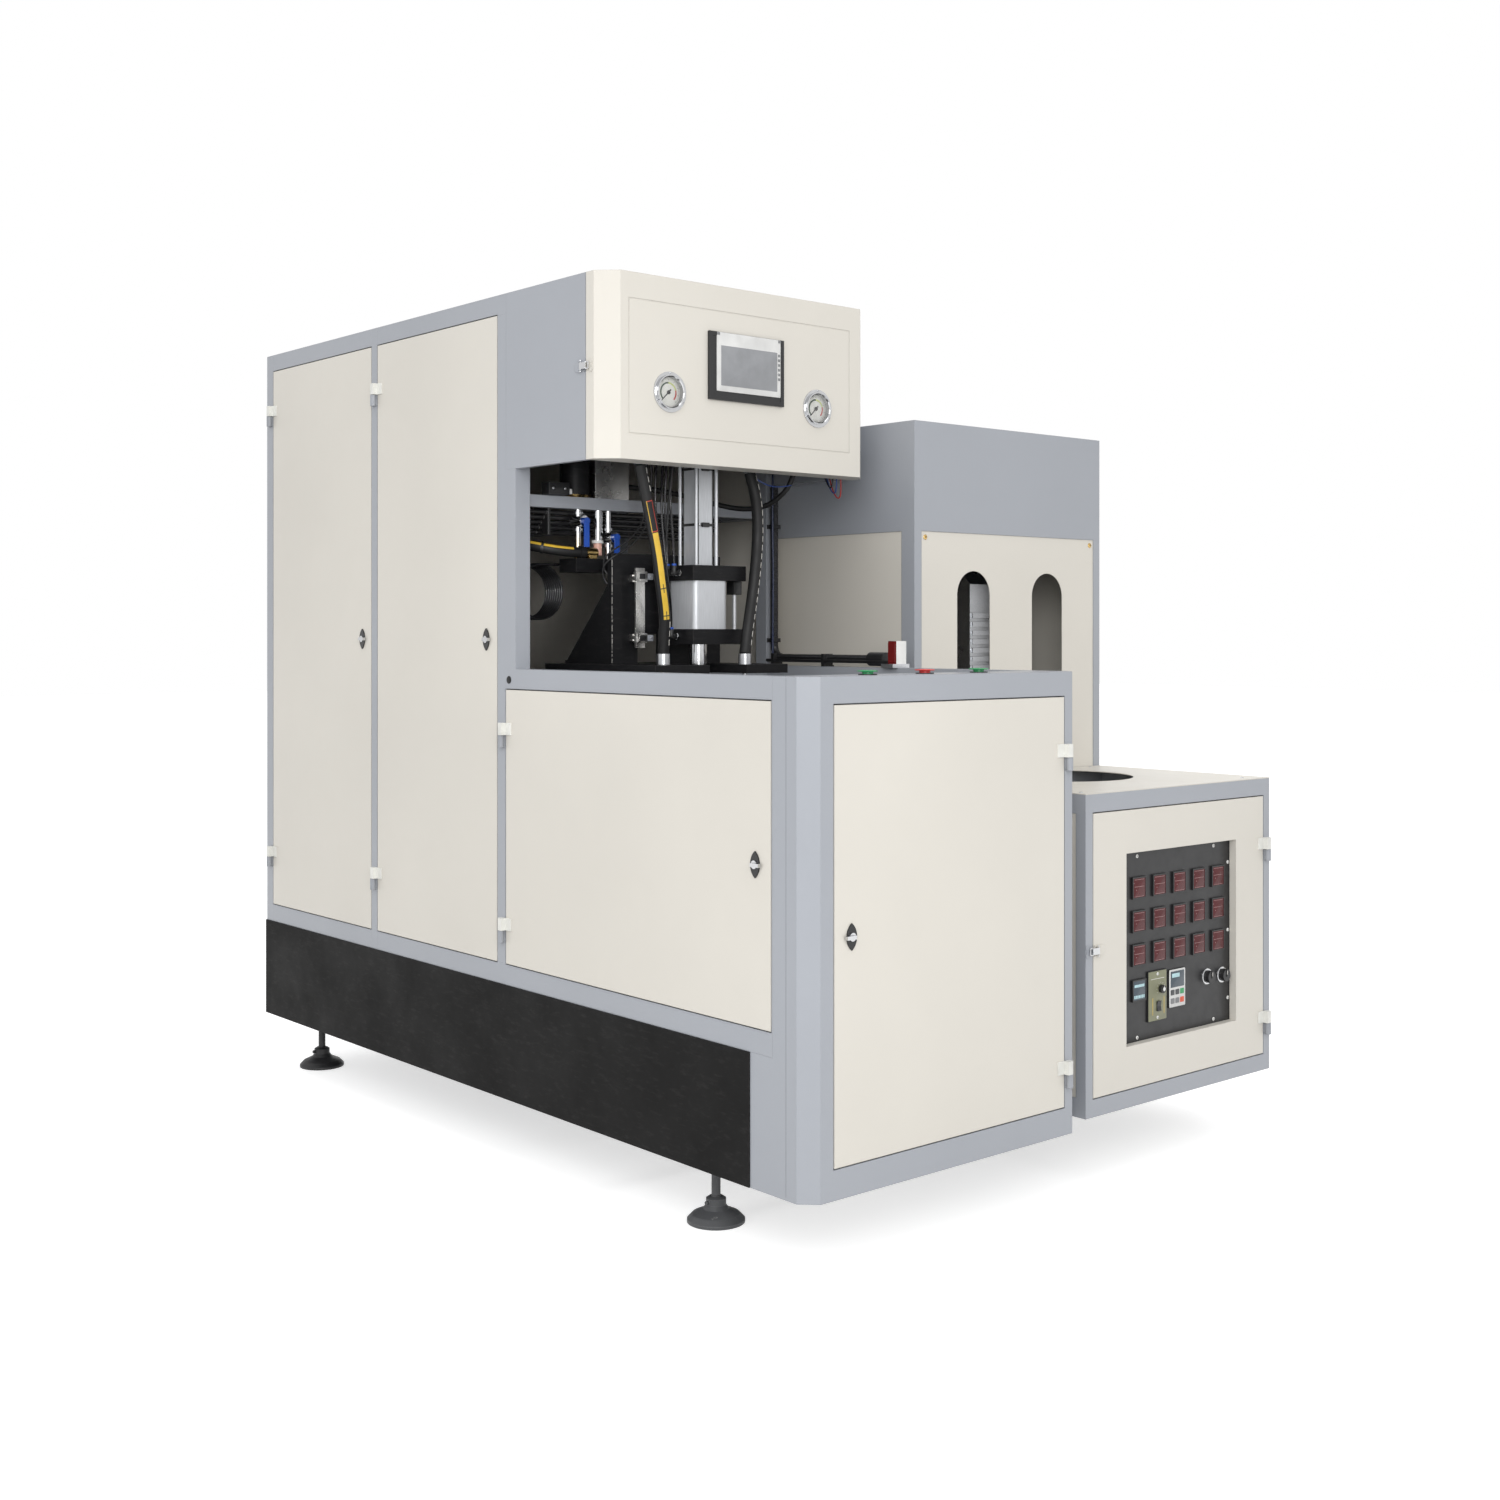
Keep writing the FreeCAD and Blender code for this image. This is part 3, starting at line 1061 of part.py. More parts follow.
def blow_column():
    """Weldment of foot plate, upright plate, gussets and the two blocks of the cylinder."""
    x0, x1 = COLUMN_X
    back = COLUMN_Y + COLUMN_T
    plate = box(x0, x1, COLUMN_Y, back, FOOT_TOP, COLUMN_TOP)
    left, right, height = COLUMN_HOLE
    plate = plate.cut(box(AXIS_X - left, AXIS_X - right, COLUMN_Y - 1, back + 1, FOOT_TOP - 1,
                          FOOT_TOP + height))
    foot = box(FOOT_PLATE_X[0], FOOT_PLATE_X[1], FOOT_PLATE_Y[0], FOOT_PLATE_Y[1], FOOT_PLATE_Z,
               FOOT_TOP)
    foot = foot.cut(box(AXIS_X - SLOT_HALF, AXIS_X + SLOT_HALF, FOOT_PLATE_Y[0] - 1,
                        AXIS_Y + SLOT_END, FOOT_PLATE_Z - 1, FOOT_TOP + 1))
    shapes = [plate, foot]
    toe = GUSSET_TOE
    for x in (x0, x1 - GUSSET_T):
        web = [Vector(x, back, FOOT_TOP), Vector(x, back + GUSSET_D + toe, FOOT_TOP),
               Vector(x, back + GUSSET_D + toe, FOOT_TOP + toe),
               Vector(x, back + GUSSET_D, FOOT_TOP + toe), Vector(x, back, FOOT_TOP + GUSSET_H)]
        face = Part.Face(Part.makePolygon(web + web[:1]))
        shapes.append(face.extrude(Vector(GUSSET_T, 0, 0)))
    front = AXIS_Y - SEAL_SQ / 2 - BLOCK_OUT
    for z in (SEAL_Z[0] - BLOCK_T, SEAL_Z[1]):
        shapes.append(box(BLOCK_X, BLOCK_X + BLOCK_W, front, COLUMN_Y, z, z + BLOCK_T))
    column = join(shapes)
    low = (AXIS_X, AXIS_Y, SEAL_Z[0] - BLOCK_T - 1)
    high = (AXIS_X, AXIS_Y, SEAL_Z[1] - 1)
    column = column.cut(rod(SEAL_ROD_R + RUN, low, (0, 0, 1), BLOCK_T + 2))
    column = column.cut(rod(STRETCH_ROD_R + RUN, high, (0, 0, 1), BLOCK_T + 2))
    for x, y in hose_ends:
        column = column.cut(rod(STUD_R, (x, y, FOOT_PLATE_Z - 1), (0, 0, 1), FOOT_PLATE_T + 2))
    return column


parts["blow_column"] = blow_column()


def square_body(side, corner, z0, z1):
    """Cylinder profile round the blow axis: a square with rounded corners."""
    h = side / 2
    return round_edges(box(AXIS_X - h, AXIS_X + h, AXIS_Y - h, AXIS_Y + h, z0, z1), corner, 2)


def blow_cylinders():
    """Seal cylinder, stretch cylinder with its cap and tie rods, and the guide rod."""
    z0, z1 = SEAL_Z
    seal = square_body(SEAL_SQ, SEAL_CORNER, z0, z1)
    seal = seal.cut(rod(SEAL_BORE, (AXIS_X, AXIS_Y, z0 - 1), (0, 0, 1), z1 - z0 + 2))
    foot = z1 + BLOCK_T
    stretch = square_body(STRETCH_SQ, STRETCH_CORNER, foot, STRETCH_TOP)
    bore = rod(STRETCH_BORE, (AXIS_X, AXIS_Y, foot - 1), (0, 0, 1), STRETCH_TOP - foot + 1)
    stretch = stretch.cut(bore)
    h = TIE_PITCH / 2
    ties = [rod(TIE_R, (AXIS_X + sx * h, AXIS_Y + sy * h, foot), (0, 0, 1), STRETCH_TOP - foot)
            for sx in (-1, 1) for sy in (-1, 1)]
    half = h + TIE_R + CAP_EDGE
    cap = box(AXIS_X - half, AXIS_X + half, AXIS_Y - half, AXIS_Y + half, STRETCH_TOP,
              STRETCH_TOP + STRETCH_CAP)
    guide = rod(GUIDE_R, (AXIS_X + GUIDE_OFF[0], AXIS_Y + GUIDE_OFF[1], z0), (0, 0, 1), z1 - z0)
    return group([seal, join([stretch, cap] + ties), guide])


parts["blow_cylinders"] = blow_cylinders()


def seal_rod():
    """Hollow rod with its piston and blow nozzle."""
    top = SEAL_Z[1] - SEAL_ROD_ROOM
    r = SEAL_ROD_R
    piston = SEAL_BORE - RUN
    profile = [(SEAL_ROD_BORE, SEAL_ROD_LOW), (r - NOZZLE_CONE[0], SEAL_ROD_LOW),
               (r, SEAL_ROD_LOW + NOZZLE_CONE[1]),
               (r, top - PISTON_T), (piston, top - PISTON_T), (piston, top), (SEAL_ROD_BORE, top)]
    return turned(profile, (AXIS_X, AXIS_Y, 0))


def stretch_rod():
    """Thin rod with its piston, running down through the seal rod."""
    top = STRETCH_TOP - STRETCH_ROOM
    r = STRETCH_ROD_R
    piston = STRETCH_BORE - RUN
    profile = [(0, STRETCH_ROD_LOW), (r - ROD_CONE[0], STRETCH_ROD_LOW),
               (r, STRETCH_ROD_LOW + ROD_CONE[1]),
               (r, top - PISTON_T), (piston, top - PISTON_T), (piston, top), (0, top)]
    return turned(profile, (AXIS_X, AXIS_Y, 0))


parts["seal_rod"] = seal_rod()
parts["stretch_rod"] = stretch_rod()


def sensor_rail():
    """Steel flat bar for the cylinder switches, held off the column by two clamps."""
    x = SENSOR_X
    y = SENSOR_Y
    w = SENSOR_W
    h = SENSOR_CLAMP_H
    t = SENSOR_LUG_T
    back = y + SENSOR_T
    shapes = [box(x - w / 2, x + w / 2, y, back, SENSOR_Z[0], SENSOR_Z[1])]
    for z in (SENSOR_Z[0] + SENSOR_END, SENSOR_Z[1] - SENSOR_END - h):
        for low in (z, z + h - t):
            shapes.append(box(x - w * 0.7, x + w, back, back + 2.5 * t, low, low + t))
        shapes.append(box(x - w / 4, x + w / 4, y, COLUMN_Y, z, z + h))
        shapes.append(box(x - w / 4, x + w / 4, y - 2 * t, y, z + t / 2, z + h - t / 2))
    return join(shapes)


parts["sensor_rail"] = sensor_rail()


# ---------------------------------------------------------------- mould clamp
def clamp_bed():
    """End plates bored for the four bars that the platens slide on, and the bars."""
    bars = [rod(TIE_BAR_R, (END_PLATES[0], AXIS_Y + s * TIE_BAR_Y, z), (1, 0, 0),
                END_PLATES[1] + END_PLATE_T - END_PLATES[0]) for s in (-1, 1) for z in TIE_BAR_Z]
    plates = [box(x, x + END_PLATE_T, AXIS_Y - PLATEN_HALF_W, AXIS_Y + PLATEN_HALF_W,
                  PLATEN_Z[0], PLATEN_Z[1]).cut(bars[0].multiFuse(bars[1:])) for x in END_PLATES]
    return plates + bars


def clamp_cylinder(s):
    """Cylinder on the inner face of an end plate, bored for its rod."""
    h = CLAMP_SQ / 2
    tip = AXIS_X + s * CLAMP_TIP
    body = box(tip, tip + s * CLAMP_L, AXIS_Y - h, AXIS_Y + h, CLAMP_Z - h, CLAMP_Z + h)
    bore = rod(CLAMP_ROD_R + RUN, (tip - s, AXIS_Y, CLAMP_Z), (s, 0, 0), CLAMP_L - 1)
    return round_edges(body, CLAMP_CORNER, 0).cut(bore)


parts["mould_clamp"] = group(clamp_bed() + [clamp_cylinder(-1), clamp_cylinder(1)])


def cavity():
    """Bottle-shaped hollow of the mould: base, body, shoulder and neck."""
    z0, z1 = MOULD_Z
    r = CAVITY_R
    e = CAVITY_EDGE
    base = z0 + CAVITY_FLOOR
    profile = [(0, base), (r - e, base), (r, base + e), (r, z1 - SHOULDER[0]),
               (r - SHOULDER_IN, z1 - SHOULDER[1]), (NECK_R, z1 - SHOULDER[2]), (NECK_R, z1 + 1),
               (0, z1 + 1)]
    return turned(profile, (AXIS_X, AXIS_Y, 0))


def mould_side(s):
    """Mould half, and the sliding platen with its rod; s is -1 on the left, 1 on the right."""
    x0 = AXIS_X + s * MOULD_GAP
    face = x0 + s * MOULD_T
    back = face + s * PLATEN_T
    half = box(x0, face, AXIS_Y - MOULD_HALF_W, AXIS_Y + MOULD_HALF_W, MOULD_Z[0], MOULD_Z[1])
    plate = box(face, back, AXIS_Y - PLATEN_HALF_W, AXIS_Y + PLATEN_HALF_W,
                PLATEN_Z[0] + PLATEN_LIFT, PLATEN_Z[1])
    for t in (-1, 1):
        for z in TIE_BAR_Z:
            hole = rod(TIE_BAR_R + RUN, (AXIS_X, AXIS_Y + t * TIE_BAR_Y, z), (s, 0, 0), CLAMP_TIP)
            plate = plate.cut(hole)
    end = AXIS_X + s * (CLAMP_TIP + CLAMP_ROD_IN)
    ram = rod(CLAMP_ROD_R, (back, AXIS_Y, CLAMP_Z), (s, 0, 0), abs(end - back))
    return group([half.cut(cavity()), join([plate, ram])])


parts["mould_left"] = mould_side(-1)
parts["mould_right"] = mould_side(1)


# ---------------------------------------------------------------- inside the tall cabinet
def air_receiver():
    """Pressure tank with domed ends on three legs."""
    z0, z1 = TANK_Z
    x, y = TANK_AT
    r = TANK_R
    body = rod(r, (x, y, z0 + DOME), (0, 0, 1), z1 - z0 - 2 * DOME)
    ball = (r * r + DOME * DOME) / (2 * DOME)
    cutter = rod(r, (x, y, z0), (0, 0, 1), z1 - z0)
    low = Part.makeSphere(ball, Vector(x, y, z0 + ball)).common(cutter)
    high = Part.makeSphere(ball, Vector(x, y, z1 - ball)).common(cutter)
    low = low.common(box(x - r, x + r, y - r, y + r, z0, z0 + DOME))
    high = high.common(box(x - r, x + r, y - r, y + r, z1 - DOME, z1))
    floor = SKIRT_TOP + SHEET
    legs = []
    for k in range(TANK_LEGS):
        a = math.pi / 2 + 2 * math.pi * k / TANK_LEGS
        cx = x + (r - TANK_LEG) * math.cos(a)
        cy = y + (r - TANK_LEG) * math.sin(a)
        legs.append(box(cx - TANK_LEG / 2, cx + TANK_LEG / 2, cy - TANK_LEG / 2,
                        cy + TANK_LEG / 2, floor, z0 + DOME + LEG_LAP))
    port = rod(FEED_R, (x, y, z1 - TANK_WALL), (0, 0, 1), TANK_PORT + TANK_WALL)
    return join([body, low, high, port] + legs)


parts["air_receiver"] = air_receiver()


def electrical_plate():
    """Mounting plate on the rear cross tubes with rows of switch gear."""
    front = MAIN_L - TUBE - SHEET
    low, high = PLATE_Z
    left, right = PLATE_X
    gear = []
    for share, height, depth, width, count in zip(GEAR_DOWN, GEAR_H, GEAR_D, GEAR_W, GEAR_COUNT):
        z = high - share * (high - low)
        step = (right - left - 2 * PLATE_EDGE) / count
        for k in range(count):
            x = left + PLATE_EDGE + step * (k + 0.5)
            gear.append(box(x - width / 2, x + width / 2, front - depth, front, z, z + height))
    return group([box(left, right, front, front + SHEET, low, high)] + gear)


parts["electrical_plate"] = electrical_plate()


# ---------------------------------------------------------------- rail tray behind the beam
def rail_tray():
    """Round bars that step down to the rear, held by two plates under the beam."""
    y0 = BEAM_Y + BEAM
    last = TRAY_BARS - 1
    back = y0 + TRAY_FIRST[0] + TRAY_STEP[0] * last + TRAY_EDGE
    low = BEAM_Z - TRAY_FIRST[1] - TRAY_STEP[1] * last - TRAY_EDGE
    plates = [box(x - TRAY_T / 2, x + TRAY_T / 2, y0, back, low, BEAM_Z + TRAY_RISE)
              for x in TRAY_HANGERS]
    bars = [rod(TRAY_BAR_R, (TRAY_X[0], y0 + TRAY_FIRST[0] + TRAY_STEP[0] * i,
                             BEAM_Z - TRAY_FIRST[1] - TRAY_STEP[1] * i), (1, 0, 0),
                TRAY_X[1] - TRAY_X[0]) for i in range(TRAY_BARS)]
    return join(plates + bars)


parts["rail_tray"] = rail_tray()


# ---------------------------------------------------------------- hoses and wiring
def tube_along(points, radius, name, share=0.45, limit=1e6):
    """Round tube along straight runs joined by arcs that touch both runs."""
    pts = [Vector(*p) for p in points]
    edges = []
    radii = []
    length = 0.0
    start = pts[0]
    for before, corner, after in zip(pts, pts[1:], pts[2:]):
        a = corner - before
        b = after - corner
        short = min(a.Length, b.Length)
        turn = a.getAngle(b)
        a.normalize()
        b.normalize()
        bend = min(share * short / math.tan(turn / 2), limit)
        cut = bend * math.tan(turn / 2)
        p = corner - a * cut
        q = corner + b * cut
        inner = b - a
        inner.normalize()
        middle = corner + inner * (bend / math.cos(turn / 2) - bend)
        if (p - start).Length > 0.001:
            edges.append(Part.LineSegment(start, p).toShape())
            length += (p - start).Length
        edges.append(Part.Arc(p, middle, q).toShape())
        length += bend * turn
        radii.append(bend)
        start = q
    edges.append(Part.LineSegment(start, pts[-1]).toShape())
    length += (pts[-1] - start).Length
    ring = Part.Wire(Part.makeCircle(radius, pts[0], pts[1] - pts[0]))
    tube = Part.Wire(edges).makePipeShell([ring], True, False)
    ratio = tube.Volume / (math.pi * radius * radius * length)
    print(name, "length %.0f least bend %.0f volume ratio %.4f" % (length, min(radii), ratio))
    return tube


left_hose = [(188, 745, HOSE_BAR_Z - HOSE_TOP_L), (204, 748, 1467), (224, 752, 1400), (245, 757, 1327),
             (260, 764, 1263), (277, 772, 1199), (282, 780, 1155), (*hose_ends[0], HOSE_LOW)]
right_hose = [(502, 745, HOSE_BAR_Z - HOSE_TOP_L), (512, 736, 1478), (507, 722, 1411), (500, 716, 1355),
              (488, 712, 1278), (473, 708, 1212), (458, 704, 1150), (*hose_ends[1], HOSE_LOW)]
feed_line = [(205, UNION_Y, 1340), (148, 979, 1342), (88, 1014, 1354), (58, 1080, 1368),
             (56, 1162, 1377), (70, 1290, 1380), (110, 1450, 1374), (165, 1610, 1350),
             (205, 1740, 1300), (222, 1825, 1225), (*TANK_AT, 1140), (*TANK_AT, TANK_Z[1] + TANK_PORT)]
head_wires = [(640, 742, HOSE_BAR_Z), (632, 748, 1505), (616, 777, 1471), (603, 815, 1453),
              (573, 857, 1449), (538, 900, 1460), (500, 950, 1478), (458, 987, 1492),
              (405, 1010, 1499), (336, 1014, 1501)]
block_line = [(290, 757, HOSE_BAR_Z), (281, 763, 1455), (283, 777, 1350), (286, 787, 1310),
              (300, 790, 1292), (BLOCK_X - PORT_FREE, 790, SEAL_Z[1] + PORT_UP)]

parts["air_hose_left"] = tube_along(left_hose, HOSE_R, "air_hose_left")
parts["air_hose_right"] = tube_along(right_hose, HOSE_R, "air_hose_right")
parts["feed_hose"] = tube_along(feed_line, FEED_R, "feed_hose")
parts["wiring_harness"] = group([
    tube_along(head_wires, WIRES_R, "wiring_harness, head"),
    tube_along(block_line, AIR_TUBE_R, "wiring_harness, block")])


def hose_fittings():
    """Ferrules on the hose bar and on the foot plate, with the studs through the plate."""
    pieces = []
    for x, y, z in (left_hose[0], right_hose[0]):
        collar = rod(COLLAR_R, (x, y, HOSE_BAR_Z - COLLAR_L), (0, 0, 1), COLLAR_L)
        pieces.append(join([rod(FERRULE_R, (x, y, z), (0, 0, 1), HOSE_BAR_Z - z), collar]))
    low = FOOT_PLATE_Z - STUD_OUT
    for x, y, z in (left_hose[-1], right_hose[-1]):
        pieces.append(join([rod(FERRULE_R, (x, y, FOOT_TOP), (0, 0, 1), z - FOOT_TOP),
                            rod(STUD_R, (x, y, low), (0, 0, 1), FOOT_TOP + STUD_OUT / 2 - low)]))
    x, y, z = block_line[-1]
    for height in (z, SEAL_Z[0] - BLOCK_T / 2):
        pieces.append(rod(AIR_TUBE_R * 2, (x, y, height), (1, 0, 0), BLOCK_X - x))
    return group(pieces)


parts["hose_fittings"] = hose_fittings()


def coil_route():
    """Corners round which the coil's arcs touch, from the manifold to the post."""
    cx, cy, cz = COIL_AT
    step = 2 * math.pi / COIL_TURN
    r = COIL_R / math.cos(step / 2)
    y0 = cy - COIL_PITCH * COIL_LOOPS / 2
    corners = []
    for k in range(COIL_TURN * COIL_LOOPS + 2):
        a = math.pi / 2 + step * (k + 0.5)
        y = y0 + COIL_PITCH * (k + 0.5) / COIL_TURN
        corners.append((cx + r * math.cos(a), y, cz + r * math.sin(a)))
    start = (COIL_PORT_X, y0 - COIL_PITCH / COIL_TURN / 2, cz + COIL_R)
    return [start] + corners + coil_tail


coil_tail = [(60, TAIL_Y + 77, 1196), (60, TAIL_Y + 37, 1166), (54, TAIL_Y + 10, 1157),
             (46, TAIL_Y, 1155)]


def coil_gap(route):
    """Least distance between neighbouring turns, less the tube's own diameter."""
    turn = [Vector(*p) for p in route[1:-len(coil_tail)]]
    gap = min((later - first).Length for first, later in zip(turn, turn[COIL_TURN:]))
    return gap - 2 * AIR_TUBE_R


route = coil_route()
parts["tube_coil"] = tube_along(route, AIR_TUBE_R, "tube_coil", 0.5)
print("tube_coil least gap between turns %.2f" % coil_gap(route))


# ---------------------------------------------------------------- pipes and valves under the beam
def valve_body(x, z):
    """Body of a ball valve across the riser with the nuts of the riser."""
    body = rod(VALVE_R, (x, VALVE_Y - VALVE_FRONT, z), (0, 1, 0), VALVE_L)
    nut = VALVE_NUT - FITTING_NUT
    nuts = [rod(UNION_R, (x, VALVE_Y, low), (0, 0, 1), FITTING_NUT)
            for low in (z - VALVE_NUT, z + nut)]
    return join([body] + nuts)


def stem_bore(x, z):
    return rod(VALVE_STEM_R + RUN, (x, VALVE_Y - VALVE_FRONT - 1, z), (0, 1, 0), VALVE_SEAT)


def valve_handle(x, z, blade):
    """Blade handle that hangs from its stem; blade is its length below the stem."""
    front = VALVE_Y - VALVE_FRONT
    start = front - VALVE_HUB
    stem = rod(VALVE_STEM_R, (x, start, z), (0, 1, 0), VALVE_HUB + VALVE_SEAT - 2)
    hub = rod(2 * VALVE_STEM_R, (x, start, z), (0, 1, 0), VALVE_HUB - FACE_GAP)
    w = BLADE_W / 2
    plate = box(x - w, x + w, start + 1, start + 1 + BLADE_T, z - blade, z)
    return join([stem, hub, plate])


def pipe_fittings():
    """Manifold with its two risers and valves, drain tube, and the units on the beam."""
    y = VALVE_Y
    low, top = MANIFOLD_Z
    x0, x1 = MANIFOLD_X
    back = BEAM_Y + MANIFOLD_BACK
    block = box(x0, x1, UNION_Y - UNION_R, back, low, top)
    mid = (low + top) / 2 + AIR_TUBE_R
    w = PORT_L * 0.7
    port = box(COIL_PORT_X, COIL_PORT_X + 2 * w, back, back + PORT_L, mid - w, mid + w)
    union = rod(UNION_R, feed_line[0], (1, 0, 0), UNION_L)
    start = feed_line[0][0] + UNION_SEAT[0]
    seat = box(start, start + 0.7 * UNION_L, UNION_Y - UNION_R + 1, UNION_Y + UNION_R - 1, top,
               top + UNION_SEAT[1])
    risers = []
    for x, z in zip(VALVE_X, VALVE_Z):
        risers.append(rod(RISER_R, (x, y, top), (0, 0, 1), BEAM_Z - top))
        risers.append(valve_body(x, z))
    base = join([block, port, union, seat] + risers)
    for x, z in zip(VALVE_X, VALVE_Z):
        base = base.cut(stem_bore(x, z))
    tip, cap, collar = DRAIN_Z
    r = DRAIN_R
    wide = DRAIN_CAP_R
    thin = DRAIN_TIP_R
    drain = turned([(0, BEAM_Z), (r, BEAM_Z), (r, collar), (wide, collar), (wide, cap),
                    (thin, cap), (thin, tip), (0, tip)], (DRAIN_X, y, 0))
    seat_z = BEAM_Z + BEAM
    air_box = box(AIR_BOX_X[0], AIR_BOX_X[1], BEAM_Y + AIR_BOX_D[0], BEAM_Y + AIR_BOX_D[1],
                  seat_z, seat_z + AIR_BOX_H)
    r = BOWL_R
    bowl = turned([(0, 0), (r - BOWL_FOOT[0], 0), (r, BOWL_FOOT[1]), (r, BOWL_H - BOWL_SHOULDER),
                   (BOWL_NECK_R, BOWL_H), (0, BOWL_H)], (BOWL_X, y + BEAM / 2, seat_z))
    x, y, z = coil_tail[-1]
    gland = rod(GLAND_R, (TUBE, y, z), (1, 0, 0), x - TUBE)
    return group([base, drain, air_box, bowl, gland])


parts["pipe_fittings"] = pipe_fittings()
parts["valve_handle_left"] = valve_handle(VALVE_X[0], VALVE_Z[0], BLADE_L[0])
parts["valve_handle_right"] = valve_handle(VALVE_X[1], VALVE_Z[1], BLADE_L[1])


# ---------------------------------------------------------------- conduit and sensor
def conduit():
    """Rigid conduit down the right post and forward along the table, with clips and cable."""
    x = CONDUIT_X
    y = TALL_Y - CONDUIT_OUT
    z = TABLE_Z + CONDUIT_UP
    leg = CLIP_LEG
    ear = CLIP_EAR
    w = CONDUIT_CLIP / 2
    t = SHEET
    pipe = tube_along([(x, y, HEAD_Z), (x, y, z), (x, CONDUIT_END, z)], CONDUIT_R, "conduit",
                      limit=CONDUIT_BEND)
    nut = rod(CONDUIT_NUT_R, (x, CONDUIT_END, z), (0, 1, 0), CONDUIT_NUT_L)
    cable = rod(CABLE_R, (x + CABLE_OFF[0], CABLE_FRONT, z + CABLE_OFF[1]), (0, 1, 0),
                TALL_Y - CABLE_FRONT)
    clips = []
    for at in (HEAD_Z - CLIP_DOWN, TABLE_Z + CLIP_UP):
        clips.append(box(x - ear, x + ear, TALL_Y - t, TALL_Y, at - w, at + w))
        clips.append(box(x - leg, x + leg, y - leg, TALL_Y, at - w, at + w))
    for at in (CONDUIT_END + CLIP_AHEAD, TALL_Y - CLIP_BACK):
        clips.append(box(x - ear - t, x + ear, at - w, at + w, TABLE_Z, TABLE_Z + t))
        clips.append(box(x - ear - t, x + leg, at - w, at + w, TABLE_Z, z + leg))
    return join([pipe, nut, cable] + clips)


parts["conduit"] = conduit()


def preform_sensor():
    """Small sensor box with slanted corners on a bracket, and its window plate."""
    x0 = MAIN_W - TUBE
    x1 = MAIN_W
    y0, y1 = EYE_Y
    c = EYE_CUT
    low = TABLE_Z + EYE_SEAT
    edge = [(x0, y0), (x1 - c, y0), (x1, y0 + c), (x1, y1 - c), (x1 - c, y1), (x0, y1)]
    body = prism(edge, low, low + EYE_H)
    window = box(x0 - EYE_WINDOW, x0, y0 + 2, y1 - 2, low + EYE_EDGE, low + EYE_H - EYE_EDGE)
    bracket = box(x0 - 5 * EYE_WINDOW, x1, y0 - EYE_EDGE, y1 + 2 * EYE_EDGE, TABLE_Z, low)
    return group([body, window, bracket])


parts["preform_sensor"] = preform_sensor()


# ---------------------------------------------------------------- preform heater
def heater_box(x0, x1, y0, y1, z0, z1):
    """Block given in x from the heater's left side plane."""
    return box(HX + x0, HX + x1, y0, y1, z0, z1)


def rail_ring(y0, y1, z0, z1, width):
    """Four rails round the heater at one height."""
    w = HEATER_W
    outer = heater_box(0, w, y0, y1, z0, z1)
    return outer.cut(heater_box(width, w - width, y0 + width, y1 - width, z0 - 1, z1 + 1))


def heater_frame():
    w = HEATER_W
    p = H_POST
    rail_low = (HEATER_Z, HEATER_Z + H_RAIL)
    rail_desk = (DESK_Z - H_RAIL, DESK_Z)
    pieces = [rail_ring(HEATER_Y, HEATER_REAR, z0, z1, p) for z0, z1 in (rail_low, rail_desk)]
    pieces.append(rail_ring(OVEN_Y, HEATER_REAR, BAND_Z - OVEN_POST_D, BAND_Z, OVEN_POST))
    for x in (0, w - p):
        pieces.append(heater_box(x, x + p, HEATER_Y, HEATER_Y + p, HEATER_Z, DESK_Z))
        pieces.append(heater_box(x, x + p, OVEN_Y - p, OVEN_Y, HEATER_Z, DESK_Z))
    for x in (0, w - OVEN_POST):
        for y in (OVEN_Y, HEATER_REAR - OVEN_POST_D):
            pieces.append(heater_box(x, x + OVEN_POST, y, y + OVEN_POST_D, HEATER_Z, BAND_Z))
    for y in HEATER_FEET_Y:
        pieces.append(heater_box(p - 1, w - p + 1, y - TUBE / 2, y + TUBE / 2, *rail_low))
    pieces.append(heater_box(p - 1, w - p + 1, OVEN_Y - p, OVEN_Y, *rail_desk))
    pieces.append(heater_box(p - 1, w - p + 1, CAROUSEL_Y - p, CAROUSEL_Y + p, *rail_desk))
    pieces.append(heater_box(OVEN_POST - 1, w - OVEN_POST + 1, CAROUSEL_Y - p, CAROUSEL_Y + p,
                             BAND_Z - OVEN_POST_D, BAND_Z))
    half = GEARBOX_HALF
    pieces.append(box(CAROUSEL_X - half, CAROUSEL_X + half, CAROUSEL_Y - half, CAROUSEL_Y + half,
                      GEARBOX_Z[0], GEARBOX_Z[1]))
    band = heater_box(0, w, OVEN_Y, HEATER_REAR, BAND_Z, OVEN_Z)
    t = BAND_T
    band = band.cut(heater_box(t, w - t, OVEN_Y + t, HEATER_REAR - t, BAND_Z - 1, OVEN_Z - t))
    frame = join(pieces + [band])
    z0, z1 = H_DOOR_Z
    frame = frame.cut(door_hole(HEATER_FRONT, H_DOOR_W, z0, z1, STOP_D))
    frame = frame.cut(rod(SPINDLE_R + RUN, (CAROUSEL_X, CAROUSEL_Y, GEARBOX_Z[0] + SPINDLE_SEAT - 5),
                          (0, 0, 1), GEARBOX_Z[1]))
    straps = [heater_box(x, x + STRAP_W, BOARD_Y + BOARD_T, HEATER_Y + p, z0, z1)
              for x in STRAP_X]
    shapes = [frame] + stop_bars(HEATER_FRONT, H_DOOR_W, z0, z1) + straps
    shapes.append(keeper(HEATER_LATCH_FACE, HEATER_LATCH))
    return join(shapes)


